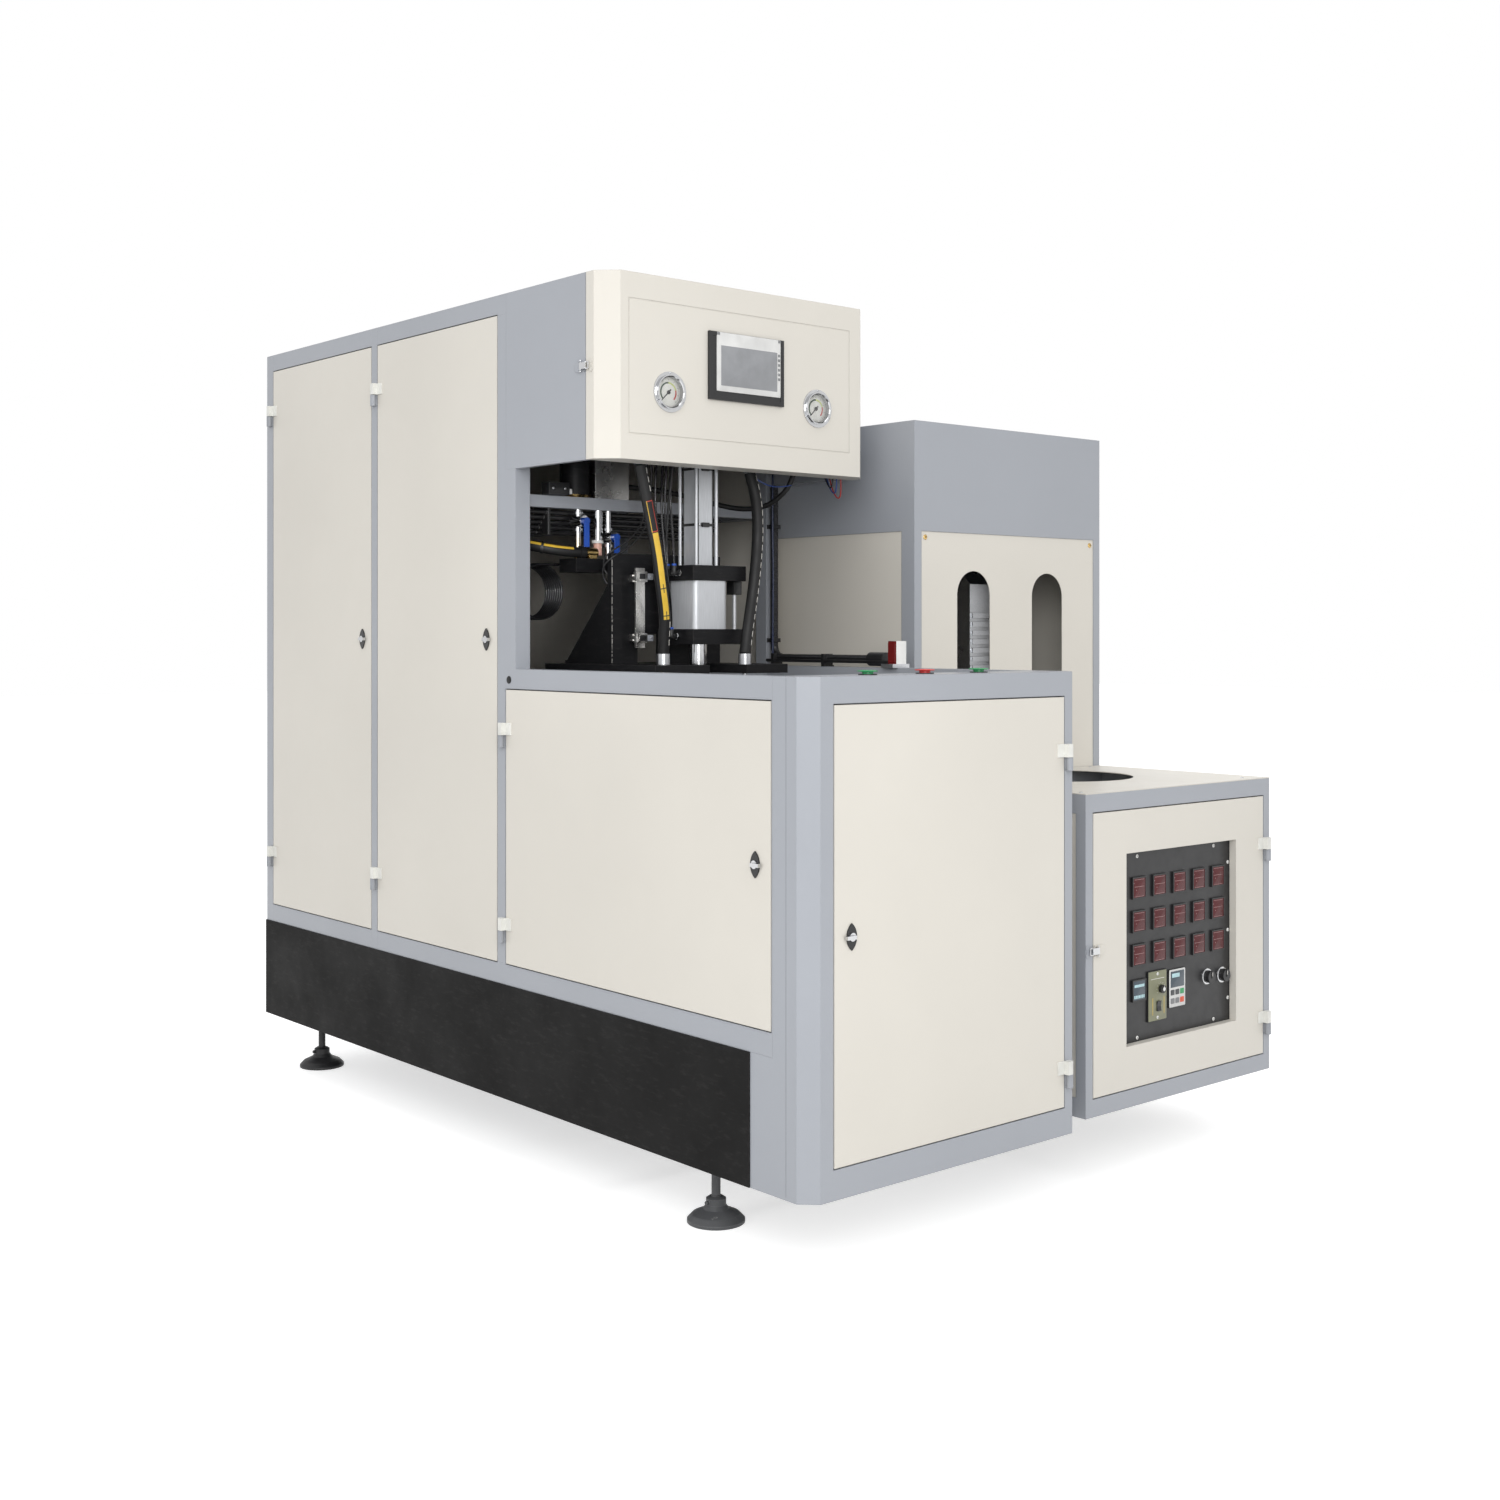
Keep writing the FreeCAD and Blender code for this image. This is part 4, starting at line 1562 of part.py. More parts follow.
def heater_panels():
    """Closing panels of both sides and the back, and the desk plate with its round well."""
    w = HEATER_W
    t = PANEL_T
    i = PANEL_IN
    p = H_POST
    z_low = (HEATER_Z + H_RAIL, DESK_Z - H_RAIL)
    z_high = (DESK_Z, BAND_Z - OVEN_POST_D)
    panels = []
    for x in (i, w - i - t):
        panels.append(heater_box(x, x + t, HEATER_Y + p, OVEN_Y - p, *z_low))
        for span in (z_low, z_high):
            panels.append(heater_box(x, x + t, OVEN_Y + OVEN_POST_D, HEATER_REAR - OVEN_POST_D,
                                     *span))
    for span in (z_low, z_high):
        panels.append(heater_box(OVEN_POST, w - OVEN_POST, HEATER_REAR - i - t, HEATER_REAR - i,
                                 *span))
    desk = heater_box(0, w, HEATER_Y, OVEN_Y, DESK_Z, DESK_Z + DESK_T)
    desk = desk.cut(rod(WELL_R, (HX + WELL_X, HEATER_Y + WELL_Y, DESK_Z - 1), (0, 0, 1),
                        DESK_T + 2))
    return group(panels + [desk])


def oven_front():
    """Front panel of the oven with two arched openings and a screw in each top corner."""
    y = OVEN_Y + PANEL_IN
    top = BAND_Z - OVEN_POST_D
    right = HEATER_W - OVEN_POST
    plate = heater_box(OVEN_POST, right, y, y + PANEL_T, DESK_Z, top)
    centre = ARCH_TOP - ARCH_R
    for x in ARCH_X:
        arch = join([heater_box(x - ARCH_R, x + ARCH_R, y - 1, y + 3, ARCH_FOOT, centre),
                     rod(ARCH_R, (HX + x, y - 1, centre), (0, 1, 0), 4)])
        plate = plate.cut(arch)
    screws = [rod(SCREW_R, (HX + x, y - PANEL_T, top - SCREW_IN), (0, 1, 0), PANEL_T + 0.5)
              for x in (OVEN_POST + SCREW_IN, right - SCREW_IN)]
    return join([plate] + screws)


def heater_door():
    """Door with a window whose edges are folded back, and the base of its latch."""
    z0, z1 = H_DOOR_Z
    wx0, wx1 = WINDOW_X
    wz0, wz1 = WINDOW_Z
    y = HEATER_Y
    t = PANEL_T
    deep = WINDOW_D - 1
    shell = pan(HEATER_FRONT, H_DOOR_W, z0, z1)
    collar = heater_box(wx0 - t, wx1 + t, y, y + deep, wz0 - t, wz1 + t)
    shapes = [shell, collar, latch_base(HEATER_LATCH_FACE, HEATER_LATCH)]
    shapes += [knuckle(HEATER_FRONT, z) for z in HEATER_HINGES]
    return join(shapes).cut(heater_box(wx0, wx1, y - 1, y + deep + 1, wz0, wz1))


parts["heater_frame"] = heater_frame()
parts["heater_panels"] = heater_panels()
parts["oven_front"] = oven_front()
parts["heater_door"] = heater_door()
parts["heater_latch_lever"] = latch_lever(HEATER_LATCH_FACE, HEATER_LATCH)

meter_places = [(METER_X + METER_DX * c, METER_Z - METER_DZ * r)
                for r in range(METER_ROWS) for c in range(METER_COLS)]
meter_places.append((METER_X, KNOB_Z[0] + 2))


def panel_box(x, z, width, height, y0, y1):
    """Block centred at a place on the control panel; y counts back from the board's face."""
    w = width / 2
    h = height / 2
    return heater_box(x - w, x + w, BOARD_Y + y0, BOARD_Y + y1, z - h, z + h)


def panel_rod(radius, x, z, y0, y1):
    return rod(radius, (HX + x, BOARD_Y + y0, z), (0, 1, 0), y1 - y0)


rocker_at = (SPEED_X + ROCKER_OFF[0], SPEED_Z + ROCKER_OFF[1])
rocker_room = (ROCKER_W + ROCKER_ROOM[0], ROCKER_H + ROCKER_ROOM[1])
dial_at = (SPEED_X + DIAL_OFF[0], SPEED_Z + DIAL_OFF[1])


def control_panel():
    """Black board behind the door's window, with a cut-out for each instrument."""
    e = BOARD_EDGE
    board = heater_box(WINDOW_X[0] - e, WINDOW_X[1] + e, BOARD_Y, BOARD_Y + BOARD_T,
                       WINDOW_Z[0] - e, WINDOW_Z[1] + e)
    cuts = [panel_box(x, z, METER_BODY, METER_BODY, -1, CUT_DEPTH) for x, z in meter_places]
    cuts += [panel_rod(SHAFT_R + RUN, x, z, -1, CUT_DEPTH) for x, z in zip(KNOB_X, KNOB_Z)]
    cuts.append(panel_rod(SHAFT_R + RUN, dial_at[0], dial_at[1], -1, CUT_DEPTH))
    cuts.append(panel_box(rocker_at[0], rocker_at[1], *rocker_room, -1, CUT_DEPTH))
    return board.cut(cuts[0].multiFuse(cuts[1:]))


def panel_meters():
    """Square meters with sunk faces, the keypad and the plate of the speed control."""
    pieces = []
    for x, z in meter_places:
        bezel = panel_box(x, z, METER, METER, -METER_OUT, 0)
        face = METER - 2 * METER_RIM
        bezel = bezel.cut(panel_box(x, z, face, face, -METER_OUT - 1, 1 - METER_OUT))
        body = panel_box(x, z, METER_BODY, METER_BODY, -1, METER_DEPTH)
        pieces.append(join([bezel, body]))
    pieces.append(panel_box(KEYPAD_AT[0], KEYPAD_AT[1], KEYPAD_W, KEYPAD_H, -KEYPAD_T, 0))
    plate = panel_box(SPEED_X, SPEED_Z, SPEED_W, SPEED_H, -SPEED_T, 0)
    front = -SPEED_T - 1
    plate = plate.cut(panel_box(rocker_at[0], rocker_at[1], *rocker_room, front, 1))
    plate = plate.cut(panel_rod(SHAFT_R + RUN, dial_at[0], dial_at[1], front, 1))
    reach = ROCKER_W / 2 + PIN_REACH + 0.5
    pin = rod(ROCKER_PIN + RUN, (HX + rocker_at[0] - reach, BOARD_Y - PIN_SINK, rocker_at[1]),
              (1, 0, 0), 2 * reach)
    pieces.append(plate.cut(pin))
    return group(pieces)


def rocker():
    """Two-way rocker on a cross pin, its face hollowed by two slopes."""
    x, z = rocker_at
    half = ROCKER_H / 2
    y = BOARD_Y
    out = ROCKER_OUT
    side = [Vector(HX + x - ROCKER_W / 2, y + a, z + b) for a, b in (
        (-out, half), (ROCKER_DIP - out, 0), (-out, -half), (0, -half + 1), (ROCKER_BACK, 0),
        (0, half - 1))]
    block = Part.Face(Part.makePolygon(side + side[:1])).extrude(Vector(ROCKER_W, 0, 0))
    reach = ROCKER_W / 2 + PIN_REACH
    pin = rod(ROCKER_PIN, (HX + x - reach, y - PIN_SINK, z), (1, 0, 0), 2 * reach)
    return join([block, pin])


def knob(x, z, radius, height, seat):
    """Round knob with a raised pointer on a shaft through the board; seat is what it stands on."""
    base = -seat - FACE_GAP
    body = panel_rod(radius, x, z, base - height, base)
    pointer = panel_box(x, z + radius * 0.4, POINTER_W, radius * 1.2,
                        base - height - POINTER_OUT, base - height)
    shaft = panel_rod(SHAFT_R, x, z, base - 1, BOARD_T + SHAFT_BACK)
    return join([body, pointer, shaft])


parts["control_panel"] = control_panel()
parts["panel_meters"] = panel_meters()
parts["rocker"] = rocker()
parts["speed_knob"] = knob(dial_at[0], dial_at[1], DIAL_R, DIAL_H, SPEED_T)
parts["panel_knob_left"] = knob(KNOB_X[0], KNOB_Z[0], KNOB_R, KNOB_H, 0.0)
parts["panel_knob_right"] = knob(KNOB_X[1], KNOB_Z[1], KNOB_R, KNOB_H, 0.0)


def lamp_bank():
    """Lamp housing hung inside the oven, with slats over its front."""
    x0, x1 = LAMP_X
    y0, y1 = LAMP_Y
    z0, z1 = LAMP_Z
    back, down = LAMP_SLOPE
    slope = [Vector(HX + x0, y0, z) for z in (z0, z1 - down)]
    slope += [Vector(HX + x0, y0 + back, z1), Vector(HX + x0, y1, z1), Vector(HX + x0, y1, z0)]
    body = Part.Face(Part.makePolygon(slope + slope[:1])).extrude(Vector(x1 - x0, 0, 0))
    slats = [heater_box(x0 + LAMP_SIDE, x1, y0 - SLAT_OUT, y0, z, z + SLAT_H)
             for z in (LAMP_SLAT_TOP - LAMP_PITCH * k for k in range(LAMP_SLATS))
             if z > z0]
    mid = (x0 + x1) / 2
    half = HANGER / 2
    hanger = heater_box(mid - half, mid + half, CAROUSEL_Y - half, CAROUSEL_Y + half, z1,
                        BAND_Z - OVEN_POST_D)
    return join([body, hanger] + slats)


def preform_carousel():
    """Turning disc on its spindle with a ring of mandrels standing on it."""
    x = CAROUSEL_X
    y = CAROUSEL_Y
    z = CAROUSEL_Z
    top = z + CAROUSEL_T
    low = GEARBOX_Z[0] + SPINDLE_SEAT
    spindle = rod(SPINDLE_R, (x, y, low), (0, 0, 1), top + SPINDLE_TOP - low)
    disc = rod(CAROUSEL_R, (x, y, z), (0, 0, 1), CAROUSEL_T).cut(spindle)
    pins = []
    for k in range(MANDRELS):
        a = 2 * math.pi * k / MANDRELS
        at = (x + MANDREL_PITCH_R * math.cos(a), y + MANDREL_PITCH_R * math.sin(a), top)
        pins.append(rod(MANDREL_R, at, (0, 0, 1), MANDREL_H))
    return group([spindle, disc] + pins)


parts["lamp_bank"] = lamp_bank()
parts["preform_carousel"] = preform_carousel()


# ---------------------------------------------------------------- feet
def foot(x, y, top):
    """Levelling foot: bell base with its side screw, and the stem with its lock nut."""
    neck = FOOT_NECK_R
    high = FOOT_BELL_H
    knee, waist, collar = FOOT_CONE_H
    profile = [(0, 0), (FOOT_R, 0), (FOOT_R, FOOT_RIM_H), (FOOT_R * FOOT_CONE_R, knee),
               (neck * 1.3, waist), (neck, collar), (neck, high - FOOT_EDGE), (neck * 0.7, high),
               (0, high)]
    out = neck + FOOT_SCREW_L - FOOT_EDGE
    screw = rod(SCREW_R, (x - out, y, high - FOOT_SCREW_L), (1, 0, 0), FOOT_SCREW_L)
    nut = top - NUT_DOWN
    stem = [(0, high), (STEM_R, high), (STEM_R, nut - NUT_H), (NUT_R, nut - NUT_H), (NUT_R, nut),
            (STEM_R, nut), (STEM_R, top), (0, top)]
    return [join([turned(profile, (x, y, 0)), screw]), turned(stem, (x, y, 0))]


def levelling_feet():
    places = [(x, y, BASE_Z) for x in (FOOT_IN, MAIN_W - FOOT_IN)
              for y in (FOOT_FRONT, MAIN_L - FOOT_REAR)]
    places += [(HX + x, y, HEATER_Z) for x in (HEATER_FOOT_IN, HEATER_W - HEATER_FOOT_IN)
               for y in HEATER_FEET_Y]
    return group([piece for x, y, top in places for piece in foot(x, y, top)])


parts["levelling_feet"] = levelling_feet()
parts["hinge_pins"] = group([hinge_pin(face, z) for face, z in pin_places])


# ---------------------------------------------------------------- shared origin and files
def finish():
    """Moves every piece to the shared origin and writes it."""
    os.makedirs("parts", exist_ok=True)
    whole = Part.makeCompound(list(parts.values())).BoundBox
    shift = Vector(-(whole.XMin + whole.XMax) / 2, -(whole.YMin + whole.YMax) / 2, 0)
    print("box %.1f %.1f %.1f" % (whole.XLength, whole.YLength, whole.ZLength), "shift", shift)
    for name, shape in parts.items():
        moved = shape.copy()
        moved.translate(shift)
        moved.exportStep("parts/" + name + ".step")
        volume = sum(s.Volume for s in moved.Solids) / 1000
        print("%-20s solids %2d valid %s volume %.0f cm3" % (
            name, len(moved.Solids), moved.isValid(), volume))


finish()
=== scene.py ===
import random
from math import cos, hypot, pi, radians, sin, tau

import bmesh
import bpy
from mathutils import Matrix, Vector


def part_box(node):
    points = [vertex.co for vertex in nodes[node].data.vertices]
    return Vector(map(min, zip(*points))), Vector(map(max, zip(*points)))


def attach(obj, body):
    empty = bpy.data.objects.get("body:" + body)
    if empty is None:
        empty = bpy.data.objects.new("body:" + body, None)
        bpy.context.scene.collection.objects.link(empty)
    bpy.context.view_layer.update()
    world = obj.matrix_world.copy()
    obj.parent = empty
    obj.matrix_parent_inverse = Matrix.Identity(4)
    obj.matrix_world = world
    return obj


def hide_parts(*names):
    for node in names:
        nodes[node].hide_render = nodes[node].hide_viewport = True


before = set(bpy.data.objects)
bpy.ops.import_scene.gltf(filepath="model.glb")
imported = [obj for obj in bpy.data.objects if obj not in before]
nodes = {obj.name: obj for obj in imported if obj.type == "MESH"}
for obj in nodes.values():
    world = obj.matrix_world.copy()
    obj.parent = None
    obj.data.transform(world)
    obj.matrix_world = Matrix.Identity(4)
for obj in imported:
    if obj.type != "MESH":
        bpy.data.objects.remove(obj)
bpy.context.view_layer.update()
random.seed(7)

# Places are machine millimetres: x from the moulder's left side, y from its front plane, z from
# the floor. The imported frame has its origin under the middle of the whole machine.
CENTRE_X = 750.0
CENTRE_Y = 1081.25
MM = 0.001


def at(x, y, z):
    """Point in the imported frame, in metres."""
    return Vector(((x - CENTRE_X) * MM, (y - CENTRE_Y) * MM, z * MM))


def machine(p):
    """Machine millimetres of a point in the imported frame."""
    return p.x / MM + CENTRE_X, p.y / MM + CENTRE_Y, p.z / MM


def linked(name, data):
    """New object in the scene."""
    thing = bpy.data.objects.new(name, data)
    bpy.context.scene.collection.objects.link(thing)
    return thing


# ---- camera
CAMERA = at(-2140.0, -2336.0, 1155.0)
HEADING = radians(-40.62)
cam_data = bpy.data.cameras.new("camera")
cam_data.sensor_width = 36.0
cam_data.lens = 42.53
cam_data.shift_y = -0.0773
cam_data.clip_start = 0.05
cam = linked("camera", cam_data)
cam.location = CAMERA
cam.rotation_euler = (radians(90), 0, HEADING)
bpy.context.scene.camera = cam
bpy.context.scene.view_settings.view_transform = "Standard"


# ---- material tools
class Mat:
    """A node material under construction."""

    def __init__(self, name):
        self.mat = bpy.data.materials.new(name)
        self.mat.use_nodes = True
        self.tree = self.mat.node_tree
        self.bsdf = self.tree.nodes["Principled BSDF"]
        self.coords = self.add("ShaderNodeTexCoord")

    def add(self, kind, **values):
        node = self.tree.nodes.new(kind)
        for key, value in values.items():
            setattr(node, key, value)
        return node

    def link(self, out, into):
        self.tree.links.new(out, into)

    def set(self, **values):
        for key, value in values.items():
            socket = self.bsdf.inputs[key.replace("_", " ")]
            socket.default_value = (*value, 1) if isinstance(value, tuple) else value

    def noise(self, scale, detail=3.0, rough=0.5, stretch=None):
        noise = self.add("ShaderNodeTexNoise")
        noise.inputs["Scale"].default_value = scale
        noise.inputs["Detail"].default_value = detail
        noise.inputs["Roughness"].default_value = rough
        vector = self.coords.outputs["Object"]
        if stretch:
            mapping = self.add("ShaderNodeMapping")
            mapping.inputs["Scale"].default_value = stretch
            self.link(vector, mapping.inputs["Vector"])
            vector = mapping.outputs["Vector"]
        self.link(vector, noise.inputs["Vector"])
        return noise.outputs["Fac"]

    def ramp(self, value, stops):
        ramp = self.add("ShaderNodeValToRGB")
        elements = ramp.color_ramp.elements
        while len(elements) < len(stops):
            elements.new(0.5)
        for element, (place, color) in zip(elements, stops):
            element.position = place
            element.color = (*color, 1) if isinstance(color, tuple) else (color, color, color, 1)
        self.link(value, ramp.inputs["Fac"])
        return ramp.outputs["Color"]

    def math(self, operation, a, b=None):
        node = self.add("ShaderNodeMath", operation=operation)
        for socket, value in zip(node.inputs, (a, b)):
            if value is None:
                continue
            if isinstance(value, (int, float)):
                socket.default_value = value
            else:
                self.link(value, socket)
        return node.outputs[0]

    def mix(self, factor, a, b):
        node = self.add("ShaderNodeMix", data_type="RGBA")
        for name, value in (("Factor", factor), ("A", a), ("B", b)):
            socket = [s for s in node.inputs if s.name == name and s.type in (
                "VALUE" if name == "Factor" else "RGBA",)][0]
            if isinstance(value, (int, float)):
                socket.default_value = value
            elif isinstance(value, tuple):
                socket.default_value = (*value, 1)
            else:
                self.link(value, socket)
        return [s for s in node.outputs if s.type == "RGBA"][0]

    def edge(self, radius):
        """Normal with softened edges, and a mask that is 1 on the edges."""
        bevel = self.add("ShaderNodeBevel", samples=4)
        bevel.inputs["Radius"].default_value = radius
        geometry = self.add("ShaderNodeNewGeometry")
        dot = self.add("ShaderNodeVectorMath", operation="DOT_PRODUCT")
        self.link(bevel.outputs["Normal"], dot.inputs[0])
        self.link(geometry.outputs["True Normal"], dot.inputs[1])
        mask = self.math("SUBTRACT", 1.0, dot.outputs["Value"])
        return bevel.outputs["Normal"], self.math("MULTIPLY", mask, 3.4)

    def ribs(self, axis, pitch):
        """Wave of rounded ribs along one axis, pitch in metres."""
        split = self.add("ShaderNodeSeparateXYZ")
        self.link(self.coords.outputs["Object"], split.inputs["Vector"])
        turns = self.math("MULTIPLY", split.outputs[axis], tau / pitch)
        return self.math("ADD", self.math("MULTIPLY", self.math("SINE", turns), 0.5), 0.5)

    def bump(self, height, strength, distance, normal=None):
        bump = self.add("ShaderNodeBump")
        bump.inputs["Strength"].default_value = strength
        bump.inputs["Distance"].default_value = distance
        self.link(height, bump.inputs["Height"])
        if normal is not None:
            self.link(normal, bump.inputs["Normal"])
        self.link(bump.outputs["Normal"], self.bsdf.inputs["Normal"])

    def color(self, out):
        self.link(out, self.bsdf.inputs["Base Color"])

    def rough(self, out):
        self.link(out, self.bsdf.inputs["Roughness"])


def shade(color, factor):
    return tuple(c * factor for c in color)


def powder_coat(name, color, rough=0.42, edge=0.0016, dust=0.35):
    """Powder-coated sheet: orange peel, faint cloudiness, softened edges that catch dust."""
    m = Mat(name)
    cloud = m.ramp(m.noise(2.3, 5), [(0.3, shade(color, 0.965)), (0.7, shade(color, 1.02))])
    normal, mask = m.edge(edge)
    rub = m.math("MULTIPLY", mask, m.noise(46, 4, 0.65))
    m.color(m.mix(m.math("MULTIPLY", rub, dust), cloud, shade(color, 0.62)))
    smudge = m.ramp(m.noise(9, 6, 0.62), [(0.35, rough - 0.05), (0.75, rough + 0.09)])
    m.rough(smudge)
    m.set(Specular_IOR_Level=0.45, Coat_Weight=0.08, Coat_Roughness=0.3)
    m.bump(m.noise(620, 2, 0.4), 0.10, 0.0006, normal)
    return m.mat


def satin_black(name, color, rough=0.38, spec=0.42, edges=(0.09, 0.088, 0.085)):
    """Black sheet or plate with faint scuffs, a grey bloom of dust and lighter rubbed edges; the
    black rail's near-white edges are a painted highlight.
    """
    m = Mat(name)
    normal, mask = m.edge(0.0015)
    scuffs = m.ramp(m.noise(30, 8, 0.7, (1, 1, 4)), [(0.52, 0.0), (0.78, 1.0)])
    dusty = m.mix(m.math("MULTIPLY", scuffs, 0.35), color, (0.045, 0.043, 0.042))
    m.color(m.mix(m.math("MULTIPLY", mask, 0.35), dusty, edges))
    m.rough(m.ramp(m.noise(7, 6, 0.6), [(0.3, rough - 0.08), (0.75, rough + 0.12)]))
    m.set(Specular_IOR_Level=spec)
    m.bump(m.noise(420, 3), 0.12, 0.0005, normal)
    return m.mat


def brushed(name, color, rough=0.32, stretch=(1, 1, 0.03), scale=900, depth=0.10, metallic=1.0):
    """Brushed metal: fine scratches along one axis."""
    m = Mat(name)
    normal, mask = m.edge(0.0007)
    streak = m.noise(scale, 3, 0.6, stretch)
    cloud = m.noise(14, 4, 0.6)
    tone = m.ramp(streak, [(0.3, shade(color, 0.86)), (0.7, shade(color, 1.06))])
    m.color(m.mix(m.math("MULTIPLY", mask, 0.4), tone, shade(color, 1.2)))
    m.rough(m.ramp(cloud, [(0.3, rough - 0.06), (0.7, rough + 0.08)]))
    m.set(Metallic=metallic)
    m.bump(streak, depth, 0.0003, normal)
    return m.mat


def polished(name, color=(0.60, 0.605, 0.615), rough=0.09):
    """Chrome or ground rod with faint turning marks."""
    m = Mat(name)
    normal, _ = m.edge(0.0004)
    m.color(m.ramp(m.noise(60, 4), [(0.3, shade(color, 0.94)), (0.7, color)]))
    m.rough(m.ramp(m.noise(180, 5, 0.7), [(0.35, rough), (0.75, rough + 0.08)]))
    m.set(Metallic=1.0)
    m.bump(m.noise(1400, 2, 0.5, (0.05, 0.05, 1)), 0.03, 0.0002, normal)
    return m.mat


def moulded(name, color, rough=0.45, grain=0.08, scale=900, edge=0.0008, spec=0.5):
    """Moulded plastic or rubber with a fine grain and small changes of tone."""
    m = Mat(name)
    normal, mask = m.edge(edge)
    tone = m.ramp(m.noise(24, 5), [(0.3, shade(color, 0.88)), (0.7, shade(color, 1.08))])
    pale = tuple(min(1, c * 1.5 + 0.02) for c in color)
    m.color(m.mix(m.math("MULTIPLY", mask, 0.3), tone, pale))
    m.rough(m.ramp(m.noise(40, 4), [(0.3, rough - 0.06), (0.7, rough + 0.08)]))
    m.set(Specular_IOR_Level=spec)
    m.bump(m.noise(scale, 2), grain, 0.0004, normal)
    return m.mat


def corrugated(name, axis, color=(0.016, 0.016, 0.018), pitch=0.0042):
    """Ribbed plastic conduit; dust lies between the ribs."""
    m = Mat(name)
    ribs = m.ribs(axis, pitch)
    dusty = m.mix(m.math("MULTIPLY", ribs, 0.6), shade(color, 2.2), color)
    m.color(m.mix(m.noise(30, 4), dusty, shade(color, 1.5)))
    m.rough(m.ramp(m.noise(60, 3), [(0.3, 0.34), (0.7, 0.46)]))
    m.bump(ribs, 0.9, 0.0016)
    return m.mat


def worn_cast(name, color, worn, amount):
    """Painted casting with pale rubbed marks."""
    m = Mat(name)
    normal, mask = m.edge(0.002)
    marks = m.ramp(m.noise(26, 7, 0.7), [(1 - amount - 0.07, 0.0), (1 - amount + 0.05, 1.0)])
    m.color(m.mix(m.math("MAXIMUM", m.math("MULTIPLY", mask, 0.5), marks), color, worn))
    m.rough(m.ramp(m.noise(50, 5), [(0.3, 0.42), (0.7, 0.6)]))
    m.bump(m.noise(260, 3), 0.2, 0.0006, normal)
    return m.mat


def clear(name):
    """Clear window: mostly see-through, with a soft reflection that grows at a slant."""
    m = Mat(name)
    slant = m.add("ShaderNodeFresnel")
    slant.inputs["IOR"].default_value = 1.35
    through = m.add("ShaderNodeBsdfTransparent")
    gloss = m.add("ShaderNodeBsdfGlossy")
    m.link(m.ramp(m.noise(35, 5, 0.6), [(0.35, 0.05), (0.75, 0.16)]), gloss.inputs["Roughness"])
    mixed = m.add("ShaderNodeMixShader")
    m.link(slant.outputs[0], mixed.inputs["Fac"])
    m.link(through.outputs[0], mixed.inputs[1])
    m.link(gloss.outputs[0], mixed.inputs[2])
    m.link(mixed.outputs[0], m.tree.nodes["Material Output"].inputs["Surface"])
    m.tree.nodes.remove(m.bsdf)
    return m.mat


